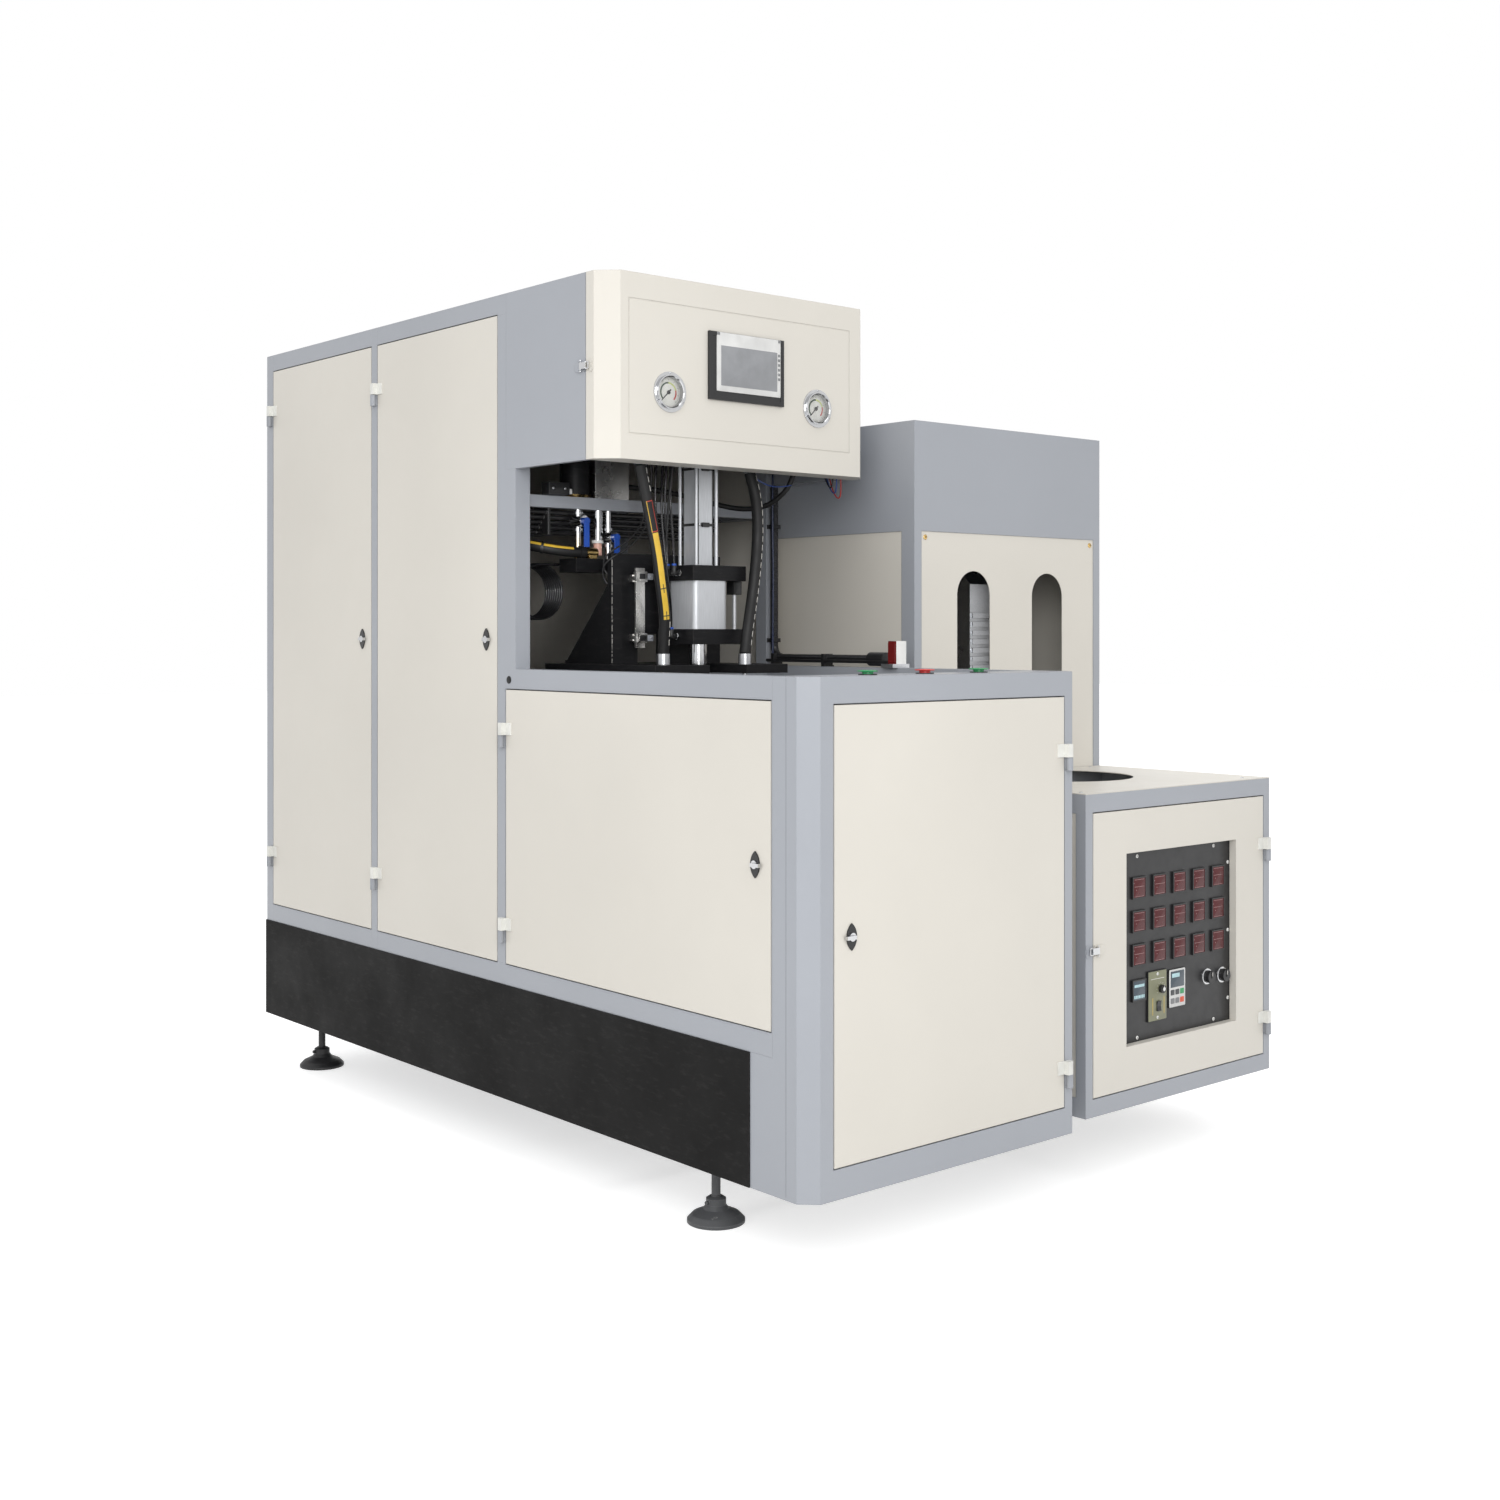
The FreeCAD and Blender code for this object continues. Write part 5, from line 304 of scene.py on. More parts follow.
GRAY = (0.335, 0.352, 0.385)
CREAM = (0.64, 0.612, 0.555)
M = {
    "gray": powder_coat("gray_powder_coat", GRAY, 0.36),
    "cream": powder_coat("cream_powder_coat", CREAM, 0.40),
    "skirt": satin_black("black_skirt", (0.007, 0.0068, 0.0068), 0.6, 0.12),
    "plate": satin_black("black_enamel", (0.009, 0.009, 0.010), 0.42, 0.16),
    # near-white edge colour: painted highlight along the rail's bars
    "rail": satin_black("black_rail", (0.012, 0.012, 0.013), 0.30, 0.5, (0.85, 0.85, 0.85)),
    "aluminium": brushed("anodised_aluminium", (0.56, 0.575, 0.60), 0.40, metallic=0.4),
    "tubing": moulded("glossy_tube", (0.009, 0.009, 0.010), 0.15, 0.02),
    "steel": brushed("zinc_steel", (0.60, 0.61, 0.63), 0.30, (1, 1, 1), 500),
    "stainless": brushed("stainless_sheet", (0.56, 0.55, 0.53), 0.26, (1, 1, 0.05), 700),
    "cast": brushed("machined_mould", (0.66, 0.67, 0.68), 0.36, (0.05, 1, 1), 600),
    "chrome": polished("chrome"),
    "brass": polished("brass", (0.62, 0.43, 0.17), 0.22),
    "rubber": moulded("black_rubber", (0.009, 0.009, 0.0095), 0.50, 0.16, 700, spec=0.35),
    "black": moulded("black_plastic", (0.014, 0.014, 0.015), 0.38, 0.06),
    "nylon": moulded("hinge_nylon", (0.72, 0.72, 0.68), 0.42, 0.05),
    "blue": moulded("blue_vinyl", (0.012, 0.075, 0.42), 0.30, 0.04),
    "red": moulded("red_button", (0.62, 0.02, 0.015), 0.28, 0.02),
    "green": moulded("green_button", (0.01, 0.30, 0.09), 0.28, 0.02),
    "foot": worn_cast("foot_casting", (0.062, 0.064, 0.068), (0.36, 0.36, 0.35), 0.3),
    # darker copy of the same casting: painted shade for the moulder's rear feet under the machine
    "shaded_foot": worn_cast("foot_casting_painted_shade", (0.014, 0.014, 0.015), (0.10, 0.10, 0.10), 0.22),
    "ribs_up": corrugated("conduit_upright", "Z"),
    "ribs_along": corrugated("conduit_level", "Y"),
    "glass": clear("clear_window"),
    "lens": moulded("lock_plate", (0.010, 0.010, 0.011), 0.22, 0.03),
    "hinge_gray": moulded("gray_hinge", shade(GRAY, 0.9), 0.4, 0.05),
    "dial": moulded("dial_face", (0.74, 0.74, 0.70), 0.5, 0.02),
    "tick": moulded("dial_marks", (0.24, 0.24, 0.23), 0.5, 0.02),
    "arc_green": moulded("dial_green", (0.055, 0.085, 0.062), 0.5, 0.02),
    "arc_lime": moulded("dial_lime", (0.56, 0.62, 0.22), 0.5, 0.02),
    "arc_red": moulded("dial_red", (0.50, 0.05, 0.04), 0.5, 0.02),
    "bezel_plate": moulded("screen_plate", (0.62, 0.62, 0.61), 0.34, 0.03, spec=0.3),
    "display": moulded("screen_glass", (0.255, 0.262, 0.275), 0.12, 0.02),
    "key": moulded("grey_key", (0.20, 0.205, 0.21), 0.45, 0.04),
    "dark_key": moulded("dark_key", (0.055, 0.058, 0.062), 0.45, 0.04),
    "green_key": moulded("green_key", (0.05, 0.30, 0.12), 0.45, 0.04),
    "red_key": moulded("red_key", (0.62, 0.10, 0.05), 0.45, 0.04),
    "meter": moulded("meter_window", (0.085, 0.012, 0.014), 0.25, 0.02, spec=0.25),
    "meter_line": moulded("meter_marks", (0.34, 0.20, 0.20), 0.4, 0.02, spec=0.25),
    "timer": moulded("timer_face", (0.045, 0.065, 0.085), 0.2, 0.02),
    "cell": moulded("timer_cells", (0.42, 0.62, 0.66), 0.3, 0.02),
    "speed": moulded("speed_plate", (0.205, 0.208, 0.130), 0.42, 0.04),
    "yellow": moulded("yellow_print", (0.72, 0.47, 0.05), 0.4, 0.03),
    "pale": moulded("pale_print", (0.66, 0.64, 0.60), 0.45, 0.03),
    "red_print": moulded("red_print", (0.50, 0.05, 0.03), 0.4, 0.03),
    "screw_white": moulded("white_screw", (0.74, 0.74, 0.72), 0.3, 0.03),
    "slot": moulded("screw_slot", (0.03, 0.03, 0.03), 0.5, 0.03),
    "wire_red": moulded("red_wire", (0.45, 0.03, 0.02), 0.4, 0.03),
    "wire_blue": moulded("blue_wire", (0.02, 0.06, 0.26), 0.4, 0.03),
    "tube_navy": moulded("navy_tube", (0.012, 0.022, 0.07), 0.28, 0.03),
    "seam": moulded("fold_seam", shade(GRAY, 0.45), 0.5, 0.03),
    "white": moulded("white_plastic", (0.80, 0.80, 0.78), 0.40, 0.04),
    "amber": moulded("drain_plastic", (0.80, 0.46, 0.36), 0.35, 0.03),
    "dark_red": moulded("sensor_window", (0.16, 0.012, 0.012), 0.2, 0.02),
    "wire_white": moulded("white_wire", (0.75, 0.74, 0.70), 0.5, 0.05),
}


def dress(node, material, *rules):
    """Gives a CAD node its materials; each rule is (material, test of a face's centre)."""
    mesh = nodes[node].data
    mesh.materials.clear()
    mesh.materials.append(M[material])
    for name, _ in rules:
        mesh.materials.append(M[name])
    if rules:
        for polygon in mesh.polygons:
            centre = machine(polygon.center)
            for index, (_, test) in enumerate(rules):
                if test(centre):
                    polygon.material_index = index + 1
                    break


HINGE_HALF = 27.0  # height of a hinge's upper half
TALL_HINGES = (555, 1743)  # lower ends of the upper halves
LOW_HINGES = (501, 932)
FRONT_HINGES = (254, 903)
HEATER_HINGES = (242, 650)
HEATER_FRONT = 42
SIDE_LOCK_Z = 1143.0
LOW_LOCK_Z = 729.0
FRONT_LOCK_Z = 602.0
LENS_REACH = 26.0  # half the height of a lock's plate, and 1 mm
BEAM = (1440.0, 1467.0)  # cross beam behind the work area
MANIFOLD_TOP = 1327.0
DRAIN_X = 255.0
DRAIN_CAP = (1364.0, 1371.0)
CONDUIT_X = 747.0
CONDUIT_Y = 938.0
CONDUIT_R = 9.5
BRACKET_TOP = 1087.0  # preform sensor's bracket

# Limits between two materials of one part. They lie between faces and are no sizes of the part.
BOWL_FOOT_LIMIT = 1476.0
BOWL_LIMIT_X = 238.0  # between the filter bowl and the air control box
UNION_LIMIT = 1353.0  # over the feed hose's union; it also takes faces of the left riser
UNION_LIMIT_X = 240.0
DRAIN_LIMIT = 16.0
UPRIGHT_LIMIT = 1125.0  # in the last 3 mm of the conduit's bend
LEVEL_LIMIT = 915.0
LEVEL_TEST_Z = 1106.0  # 9 mm over the level run's axis: only a strip of it gets the ribs
CYLINDER_LIMIT = 1759.0  # under the stretch cylinder's cap
WINDOW_LIMIT = 730.5
FEET_LIMIT_Y = 500.0  # between the moulder's front and rear feet
FEET_LIMIT_X = 800.0  # between the moulder and the heater


def proud(axis, face, spans):
    """Test for faces in front of a flat one and inside one of the height spans."""
    return lambda c: c[axis] < face - 0.4 and any(a - 1 < c[2] < b + 1 for a, b in spans)


def hinged(node, axis, face, hinges, lock=None):
    """Cream door with white hinge halves and the black plate of its lock."""
    rules = [("nylon", proud(axis, face, [(z, z + HINGE_HALF) for z in hinges]))]
    if lock:
        rules.append(("lens", proud(axis, face, [(lock - LENS_REACH, lock + LENS_REACH)])))
    dress(node, "cream", *rules)


hinged("rear_side_door", 0, 0, TALL_HINGES, SIDE_LOCK_Z)
hinged("tall_side_door", 0, 0, TALL_HINGES, SIDE_LOCK_Z)
hinged("low_side_door", 0, 0, LOW_HINGES, LOW_LOCK_Z)
hinged("front_door", 1, 0, FRONT_HINGES, FRONT_LOCK_Z)
hinged("heater_door", 1, HEATER_FRONT, HEATER_HINGES)
dress("base_skirt", "skirt")
dress("hinge_pins", "hinge_gray")
dress("rail_tray", "rail")
dress("blow_column", "plate")
dress("blow_cylinders", "aluminium", ("plate", lambda c: c[2] > CYLINDER_LIMIT))
dress("seal_rod", "chrome")
dress("stretch_rod", "chrome")
dress("sensor_rail", "stainless")
dress("hose_fittings", "steel")


def on_drain(c):
    return abs(c[0] - DRAIN_X) < DRAIN_LIMIT and c[2] > MANIFOLD_TOP + 3


def on_conduit(a, b):
    """Whether a point lies on a round wall, from its two distances to the axis."""
    return abs(hypot(a, b) - CONDUIT_R) < 1


dress("pipe_fittings", "plate",
      ("stainless", lambda c: c[2] > BEAM[1] - 0.5 and c[0] > BOWL_LIMIT_X),
      ("brass", lambda c: BEAM[0] - 1 < c[2] < BOWL_FOOT_LIMIT and c[0] < BOWL_LIMIT_X),
      ("amber", lambda c: on_drain(c) and c[2] < DRAIN_CAP[0] - 0.5),
      ("white", lambda c: on_drain(c) and DRAIN_CAP[0] - 0.5 < c[2] < DRAIN_CAP[1] + 0.5),
      ("brass", lambda c: MANIFOLD_TOP + 0.5 < c[2] < UNION_LIMIT and c[0] < UNION_LIMIT_X),
      ("chrome", lambda c: MANIFOLD_TOP + 0.5 < c[2] < BEAM[0] + 1))
dress("conduit", "black",
      ("ribs_up", lambda c: on_conduit(c[0] - CONDUIT_X, c[1] - CONDUIT_Y)
       and c[2] > UPRIGHT_LIMIT),
      ("ribs_along", lambda c: on_conduit(c[0] - CONDUIT_X, c[2] - LEVEL_TEST_Z)
       and c[1] < LEVEL_LIMIT))
dress("preform_sensor", "white",
      ("dark_red", lambda c: c[0] < WINDOW_LIMIT and c[2] > BRACKET_TOP + 0.5),
      ("steel", lambda c: c[2] < BRACKET_TOP + 0.5))
# The moulder's rear feet, under the machine, take the darker copy of the casting: painted shade.
dress("levelling_feet", "foot",
      ("shaded_foot", lambda c: c[1] > FEET_LIMIT_Y and c[0] < FEET_LIMIT_X))
for material, names in (
        ("steel", ("mould_clamp", "electrical_plate", "lamp_bank", "preform_carousel")),
        ("gray", ("main_frame", "front_apron", "head_cover", "heater_frame", "air_receiver")),
        ("cream", ("cover_panels", "heater_panels", "oven_front", "head_hood")),
        ("cast", ("mould_left", "mould_right")),
        ("chrome", ("rear_side_lock", "tall_side_lock", "low_side_lock", "front_lock",
                    "pressure_gauges", "head_latch_lever", "heater_latch_lever")),
        ("black", ("button_collars", "touch_panel", "gauge_needle_left", "gauge_needle_right",
                   "control_panel", "panel_meters", "speed_knob", "rocker", "panel_knob_left",
                   "panel_knob_right")),
        ("green", ("button_left", "button_right")),
        ("red", ("button_middle",)),
        ("blue", ("valve_handle_left", "valve_handle_right"))):
    for name in names:
        dress(name, material)


# ---- mesh tools
BODY = "machine_body"


def new_piece(name, mesh_or_curve, material, body):
    """Object with its first material, on its body."""
    piece = linked(name, mesh_or_curve)
    mesh_or_curve.materials.append(M[material])
    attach(piece, body)
    return piece


class Plane:
    """Flat face: millimetres a to the right, b up and c out of it, seen from its front."""

    def __init__(self, origin, right, out):
        self.origin = at(*origin)
        self.right = Vector(right)
        self.out = Vector(out)
        self.up = self.out.cross(self.right)

    def at(self, a, b, c=0.0):
        return self.origin + (self.right * a + self.up * b + self.out * c) * MM


def front(x, y, z):
    """Face that looks to the front."""
    return Plane((x, y, z), (1, 0, 0), (0, -1, 0))


def front_of(node):
    """Machine y of a node's foremost point."""
    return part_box(node)[0][1] / MM + CENTRE_Y


def left(x, y, z):
    """Face that looks to the moulder's left side."""
    return Plane((x, y, z), (0, -1, 0), (-1, 0, 0))


def top(x, y, z):
    """Face that looks up."""
    return Plane((x, y, z), (1, 0, 0), (0, 0, 1))


def rounded(a0, b0, a1, b1, r=0.0, steps=4):
    """Outline of a rectangle with rounded corners, in face millimetres."""
    if not r:
        return [(a0, b0), (a1, b0), (a1, b1), (a0, b1)]
    points = []
    corners = ((a1 - r, b0 + r, -90), (a1 - r, b1 - r, 0), (a0 + r, b1 - r, 90),
               (a0 + r, b0 + r, 180))
    for ca, cb, start in corners:
        for k in range(steps + 1):
            t = radians(start + 90 * k / steps)
            points.append((ca + r * cos(t), cb + r * sin(t)))
    return points


def circle(a, b, r, count):
    """Outline of a circle, in face millimetres."""
    return [(a + r * cos(tau * k / count), b + r * sin(tau * k / count))
            for k in range(count)]


def shrink(outline, by):
    """Outline drawn in towards its middle by about the same step on every side."""
    a0, a1 = min(p[0] for p in outline), max(p[0] for p in outline)
    b0, b1 = min(p[1] for p in outline), max(p[1] for p in outline)
    ca, cb = (a0 + a1) / 2, (b0 + b1) / 2
    fa, fb = 1 - 2 * by / (a1 - a0), 1 - 2 * by / (b1 - b0)
    return [(ca + (a - ca) * fa, cb + (b - cb) * fb) for a, b in outline]


class Build:
    """Mesh under construction, with a material to each of its parts."""

    def __init__(self):
        self.bm = bmesh.new()
        self.names = []

    def loft(self, material, rings, caps=(True, True), closed=True):
        """Skin through rings of equal count."""
        if material not in self.names:
            self.names.append(material)
        rows = [[self.bm.verts.new(p) for p in ring] for ring in rings]
        count = len(rows[0])
        faces = []
        for low, high in zip(rows, rows[1:]):
            for k in range(count if closed else count - 1):
                j = (k + 1) % count
                faces.append(self.bm.faces.new((low[k], low[j], high[j], high[k])))
        if caps[0]:
            faces.append(self.bm.faces.new(rows[0][::-1]))
        if caps[1]:
            faces.append(self.bm.faces.new(rows[-1]))
        for face in faces:
            face.material_index = self.names.index(material)
            face.smooth = True

    def slab(self, material, plane, outline, back, face, edge=0.3):
        """Plate between two depths of a face, its front edge rounded off."""
        inner = shrink(outline, edge)
        middle = shrink(outline, edge * 0.3)
        rings = [(outline, back), (outline, face - edge), (middle, face - edge * 0.3),
                 (inner, face)]
        self.loft(material, [[plane.at(a, b, c) for a, b in line] for line, c in rings])

    def turned(self, material, plane, a, b, profile, count=32):
        """Turned part that stands on a face; the profile is (radius, height) pairs."""
        rings = [[plane.at(*p, height) for p in circle(a, b, radius, count)]
                 for radius, height in profile]
        self.loft(material, rings)

    def screw(self, plane, a, b, r, high, material="screw_white", turn=0.0):
        """Domed screw with a cross recess."""
        self.turned(material, plane, a, b, [(r, 0), (r, high * 0.35), (r * 0.82, high * 0.8),
                                            (r * 0.5, high)], 20)
        for angle in (turn, turn + 90):
            t = radians(angle)
            ua, ub = cos(t) * r * 0.5, sin(t) * r * 0.5
            wa, wb = -sin(t) * r * 0.09, cos(t) * r * 0.09
            line = [(a - ua - wa, b - ub - wb), (a + ua - wa, b + ub - wb),
                    (a + ua + wa, b + ub + wb), (a - ua + wa, b - ub + wb)]
            self.loft("slot", [[plane.at(*p, high * 0.5) for p in line],
                               [plane.at(*p, high + 0.08) for p in line]])

    def arc(self, material, plane, r0, r1, start, end, back, face):
        """Ring sector about the face's origin; angles in degrees clockwise from the top."""
        count = max(2, int(abs(end - start) / 5))
        turns = [radians(start + (end - start) * k / count) for k in range(count + 1)]
        rings = []
        for t in turns:
            sa, cb = sin(t), cos(t)
            rings.append([plane.at(sa * r0, cb * r0, back), plane.at(sa * r1, cb * r1, back),
                          plane.at(sa * r1, cb * r1, face), plane.at(sa * r0, cb * r0, face)])
        self.loft(material, rings)

    def piece(self, name, body, slot=None):
        """The finished mesh as an object, smooth but for edges over 38 degrees."""
        bmesh.ops.recalc_face_normals(self.bm, faces=self.bm.faces)
        mesh = bpy.data.meshes.new(name)
        self.bm.to_mesh(mesh)
        self.bm.free()
        mesh.set_sharp_from_angle(angle=radians(38))
        piece = new_piece(name, mesh, self.names[0], body)
        for extra in self.names[1:]:
            mesh.materials.append(M[extra])
        return piece


# ---- hood: screen and gauges
HOOD = "head_hood"
SCREEN = (272.0, 486.0, 1660.5, 1807.5)  # left, right, low, high
SCREEN_FRONT = 609.0
SCREEN_SUNK = 1.5  # face behind the bezel


KEYS_DOWN = 6
KEY_STEP = 10.5
KEY_H = 6.0


def screen():
    """White plate, display and keys on the touch panel, as shares of its bezel."""
    x0, x1, z0, z1 = SCREEN
    wide, high = x1 - x0, z1 - z0
    plane = front(x0, SCREEN_FRONT, z0)
    b = Build()
    b.slab("bezel_plate", plane, rounded(0.095 * wide, 0.13 * high, 0.949 * wide, high - 0.4, 2),
           -SCREEN_SUNK - 0.3, 0.7, 0.5)
    b.slab("display", plane, rounded(0.146 * wide, 0.215 * high, 0.902 * wide, 0.805 * high, 1.5),
           0, 1.1, 0.5)
    for side in (0.112 * wide, 0.932 * wide):
        b.slab("key", plane, rounded(side - 4, high - 7, side + 4, high - 1, 1), 0, 1.4)
    for k in range(KEYS_DOWN):
        low = 0.74 * high - KEY_STEP * k
        b.slab("key", plane, rounded(0.911 * wide, low, 0.941 * wide, low + KEY_H, 1), 0, 1.3, 0.4)
    b.piece("screen", HOOD, "plastic")


GAUGES = (("left", 168.0), ("right", 592.0))
GAUGE_Z = 1666.0
DIAL_Y = 620.5
RIM_Y = 608.0
FLANGE_Y = 613.5
DIAL_R = 31.8
SCALE = (-135, 135)  # ends of the scale, degrees clockwise from the top
SCALE_BANDS = (("arc_green", -135, 0), ("arc_lime", 0, 75), ("arc_red", 75, 135))
BAND_R = (18.5, 22.0)
TICKS = 40
TICK_OUT = 29.4
LONG_TICK = (25.0, 0.45)  # inner end and half width
SHORT_TICK = (27.2, 0.22)
LUG_R = 40.0
PRINT = 0.65  # how far printed marks stand out


def gauge(side, x):
    """Dial with its scale, rim screws, clear window and the needle's hub."""
    dial = front(x, DIAL_Y, GAUGE_Z)
    b = Build()
    b.turned("dial", dial, 0, 0, [(DIAL_R, -0.4), (DIAL_R, 0.3), (DIAL_R - 0.4, 0.5)], 64)
    for material, start, end in SCALE_BANDS:
        b.arc(material, dial, *BAND_R, start, end, 0.3, PRINT)
    for k in range(TICKS + 1):
        turn = radians(SCALE[0] + (SCALE[1] - SCALE[0]) * k / TICKS)
        sa, cb = sin(turn), cos(turn)
        inner, half = SHORT_TICK if k % 5 else LONG_TICK
        line = [(sa * inner - cb * half, cb * inner + sa * half),
                (sa * inner + cb * half, cb * inner - sa * half),
                (sa * TICK_OUT + cb * half, cb * TICK_OUT - sa * half),
                (sa * TICK_OUT - cb * half, cb * TICK_OUT + sa * half)]
        b.loft("tick", [[dial.at(*p, depth) for p in line] for depth in (0.4, PRINT)])
    flange = front(x, FLANGE_Y, GAUGE_Z)
    for turn in (0, 120, 240):
        t = radians(turn)
        b.screw(flange, LUG_R * sin(t), LUG_R * cos(t), 2.4, 1.6, "steel", turn + 20)
    b.piece("gauge_face_" + side, HOOD, "plastic")
    window = Build()
    window.turned("glass", front(x, RIM_Y, GAUGE_Z), 0, 0,
                  [(33.5, -3.6), (33.5, -2.6), (33.2, -2.4)], 64)
    window.piece("gauge_window_" + side, HOOD)
    hub = Build()
    hub.turned("black", front(x, DIAL_Y - 1.2, GAUGE_Z), 0, 0,
               [(4.2, 0), (4.2, 1.8), (3.4, 2.4), (1.2, 2.6)], 24)
    hub.piece("needle_hub_" + side, "gauge_needle_" + side, "plastic")


screen()
for side, x in GAUGES:
    gauge(side, x)

# ---- heater's control board
HX = 833.0  # heater's left side
BOARD_Y = 61.0
METER_Y = 57.0
METER = 48.0
METER_FACE = METER / 2 - 2.5
METER_FIRST = (HX + 204, 599.0)
METER_STEP = (73.5, 73.7)
METER_ROWS = 3
METER_COLUMNS = 5
# lines on a meter's window: height over its middle, half length
METER_LINES = ((METER_FACE - 3.4, METER_FACE - 4), (2.6, METER_FACE - 4),
               (2.6 - METER_FACE, METER_FACE - 6))
METER_DOTS = ((-0.40, 0.22), (-0.22, -0.10))  # shares of the meter
BOARD_SCREWS = ((1034, 668), (1318, 669), (1374, 627), (1374, 470), (1374, 313), (1318, 271),
                (1034, 270))
TIMER = (HX + 204, 374.0)
TIMER_CELLS = 7
TIMER_CELL_STEP = 5.4
SPEED = (HX + 269, 354.0)
SPEED_HALF = (32.5, 54.5)
SPEED_KNOB = (HX + 281, 368.0)
SPEED_DOTS = 9
KEYPAD = (HX + 343, 58.0, 362.0)
KEY_ROWS = (("dark_key", "dark_key", "green_key"), ("key", "key", "red_key"))
KEY_PITCH = (17.5, 19.0)
KNOBS = (("left", HX + 460, 372.0), ("right", HX + 518, 369.0))


def meters(b, face):
    """Dark red windows with pale marks."""
    h = METER_FACE
    for row in range(METER_ROWS):
        for column in range(METER_COLUMNS):
            x = METER_FIRST[0] + METER_STEP[0] * column
            z = METER_FIRST[1] - METER_STEP[1] * row
            b.slab("meter", face, rounded(x - h, z - h, x + h, z + h, 1), -0.2, 0.45, 0.3)
            for line, half in METER_LINES:
                b.slab("meter_line", face,
                       rounded(x - half, z + line - 0.5, x + half, z + line + 0.5), 0.3, 0.6, 0.1)
            for dx, dz in METER_DOTS:
                b.turned("meter_line", face, x + dx * METER, z + dz * METER,
                         [(1.2, 0.3), (1.2, 0.6), (0.8, 0.75)], 12)


def timer(b, face):
    x, z = TIMER
    h = METER_FACE
    b.slab("timer", face, rounded(x - h, z - h, x + h, z + h, 1), -0.2, 0.45, 0.3)
    for k in range(TIMER_CELLS):
        edge = x - h + 3 + k * TIMER_CELL_STEP
        b.slab("cell", face, rounded(edge, z - h + 4, edge + 4, z - h + 11, 0.6), 0.3, 0.7, 0.2)
    b.slab("cell", face, rounded(x - h + 4, z + 7, x + h - 4, z + 13, 0.8), 0.3, 0.6, 0.2)


def speed_plate(b, face):
    """Olive plate with its screws, the marks beside the rocker and the dots round the knob."""
    x, z = SPEED
    a, c = SPEED_HALF
    b.slab("speed", face, rounded(x - a, z - c, x + a, z + c, 2), -0.2, 0.5, 0.3)
    b.slab("pale", face, rounded(x - 24, z + 37, x + 24, z + 38.2), 0.4, PRINT, 0.1)
    for dz in (-48, 48):
        b.screw(front(x, METER_Y - 0.5, z), 0, dz, 3.6, 1.5, "screw_white", 30 + dz)
    for dx in (-17.5, 23.5):
        b.slab("yellow", face, rounded(x + dx - 0.7, z - 42, x + dx + 0.7, z - 4), 0.4, PRINT, 0.1)
    for k in range(SPEED_DOTS):
        t = radians(-120 + 30 * k)
        b.turned("pale", face, SPEED_KNOB[0] + 14 * sin(t), SPEED_KNOB[1] + 14 * cos(t),
                 [(0.8, 0.4), (0.8, PRINT), (0.5, 0.7)], 8)


def keypad(b):
    face = front(*KEYPAD)
    b.slab("bezel_plate", face, rounded(-29.5, -42, 29.5, 42, 2.5), -0.2, 0.6, 0.4)
    b.slab("timer", face, rounded(-25, 2, 25, 38, 1.5), 0.4, 1.0, 0.3)
    b.slab("cell", face, rounded(-20, 24, 8, 33, 1), 0.9, 1.15, 0.1)
    for row, colors in enumerate(KEY_ROWS):
        for column, color in enumerate(colors):
            a, c = -25 + KEY_PITCH[0] * column, -15 - KEY_PITCH[1] * row
            b.slab(color, face, rounded(a, c, a + 14, c + 12, 1.5), 0.4, 1.5, 0.6)


def board():
    """Faces of the instruments on the heater's black board, and its screws."""
    b = Build()
    for k, (x, z) in enumerate(BOARD_SCREWS):
        b.screw(front(0, BOARD_Y, 0), x, z, 4.2, 1.8, "screw_white", 25 * k)
    face = front(0, METER_Y, 0)
    meters(b, face)
    timer(b, face)
    speed_plate(b, face)
    keypad(b)
    b.piece("board_faces", BODY, "plastic")


def knob_marks():
    """Bright rings under the two large knobs, and the pointers on all three."""
    for side, x, z in KNOBS:
        ring = Build()
        ring.turned("chrome", front(x, BOARD_Y, z), 0, 0,
                    [(18.5, 0), (18.5, 1.6), (17.4, 2.6), (14.6, 2.8), (14.6, 1.0)], 48)
        ring.piece("knob_ring_" + side, BODY, "chrome")
        mark = Build()
        mark.slab("pale", front(x, front_of("panel_knob_" + side), z),
                  rounded(-0.9, 2, 0.9, 11, 0.5), -0.4, 0.35, 0.2)
        mark.piece("knob_mark_" + side, "panel_knob_" + side, "plastic")
    face = front(SPEED_KNOB[0], front_of("speed_knob"), SPEED_KNOB[1])
    tip = Build()
    tip.turned("screw_white", face, 0, 0, [(4.4, -0.4), (4.4, 0.5), (3.6, 0.9)], 24)
    tip.slab("pale", face, rounded(-0.6, 4, 0.6, 8.2, 0.3), -0.4, 0.4, 0.2)
    tip.piece("speed_knob_tip", "speed_knob", "plastic")


board()
knob_marks()

# ---- small fixings
DESK_TOP = 817.0
DESK_SCREWS = ((HX + 22, 72), (HX + 22, 520), (HX + 615, 72), (HX + 615, 520))
OVEN_Y = 545.0
OVEN_SCREWS = (HX + 38, HX + 644)
OVEN_SCREW_Z = 1382.0
PLUG = (975.0, 1054.0)  # y and z of the plug in the side post
FOLD_Y = 59.0  # line on the front cover's side, only in the looks
FOLD_Z = (134.0, 1084.0)


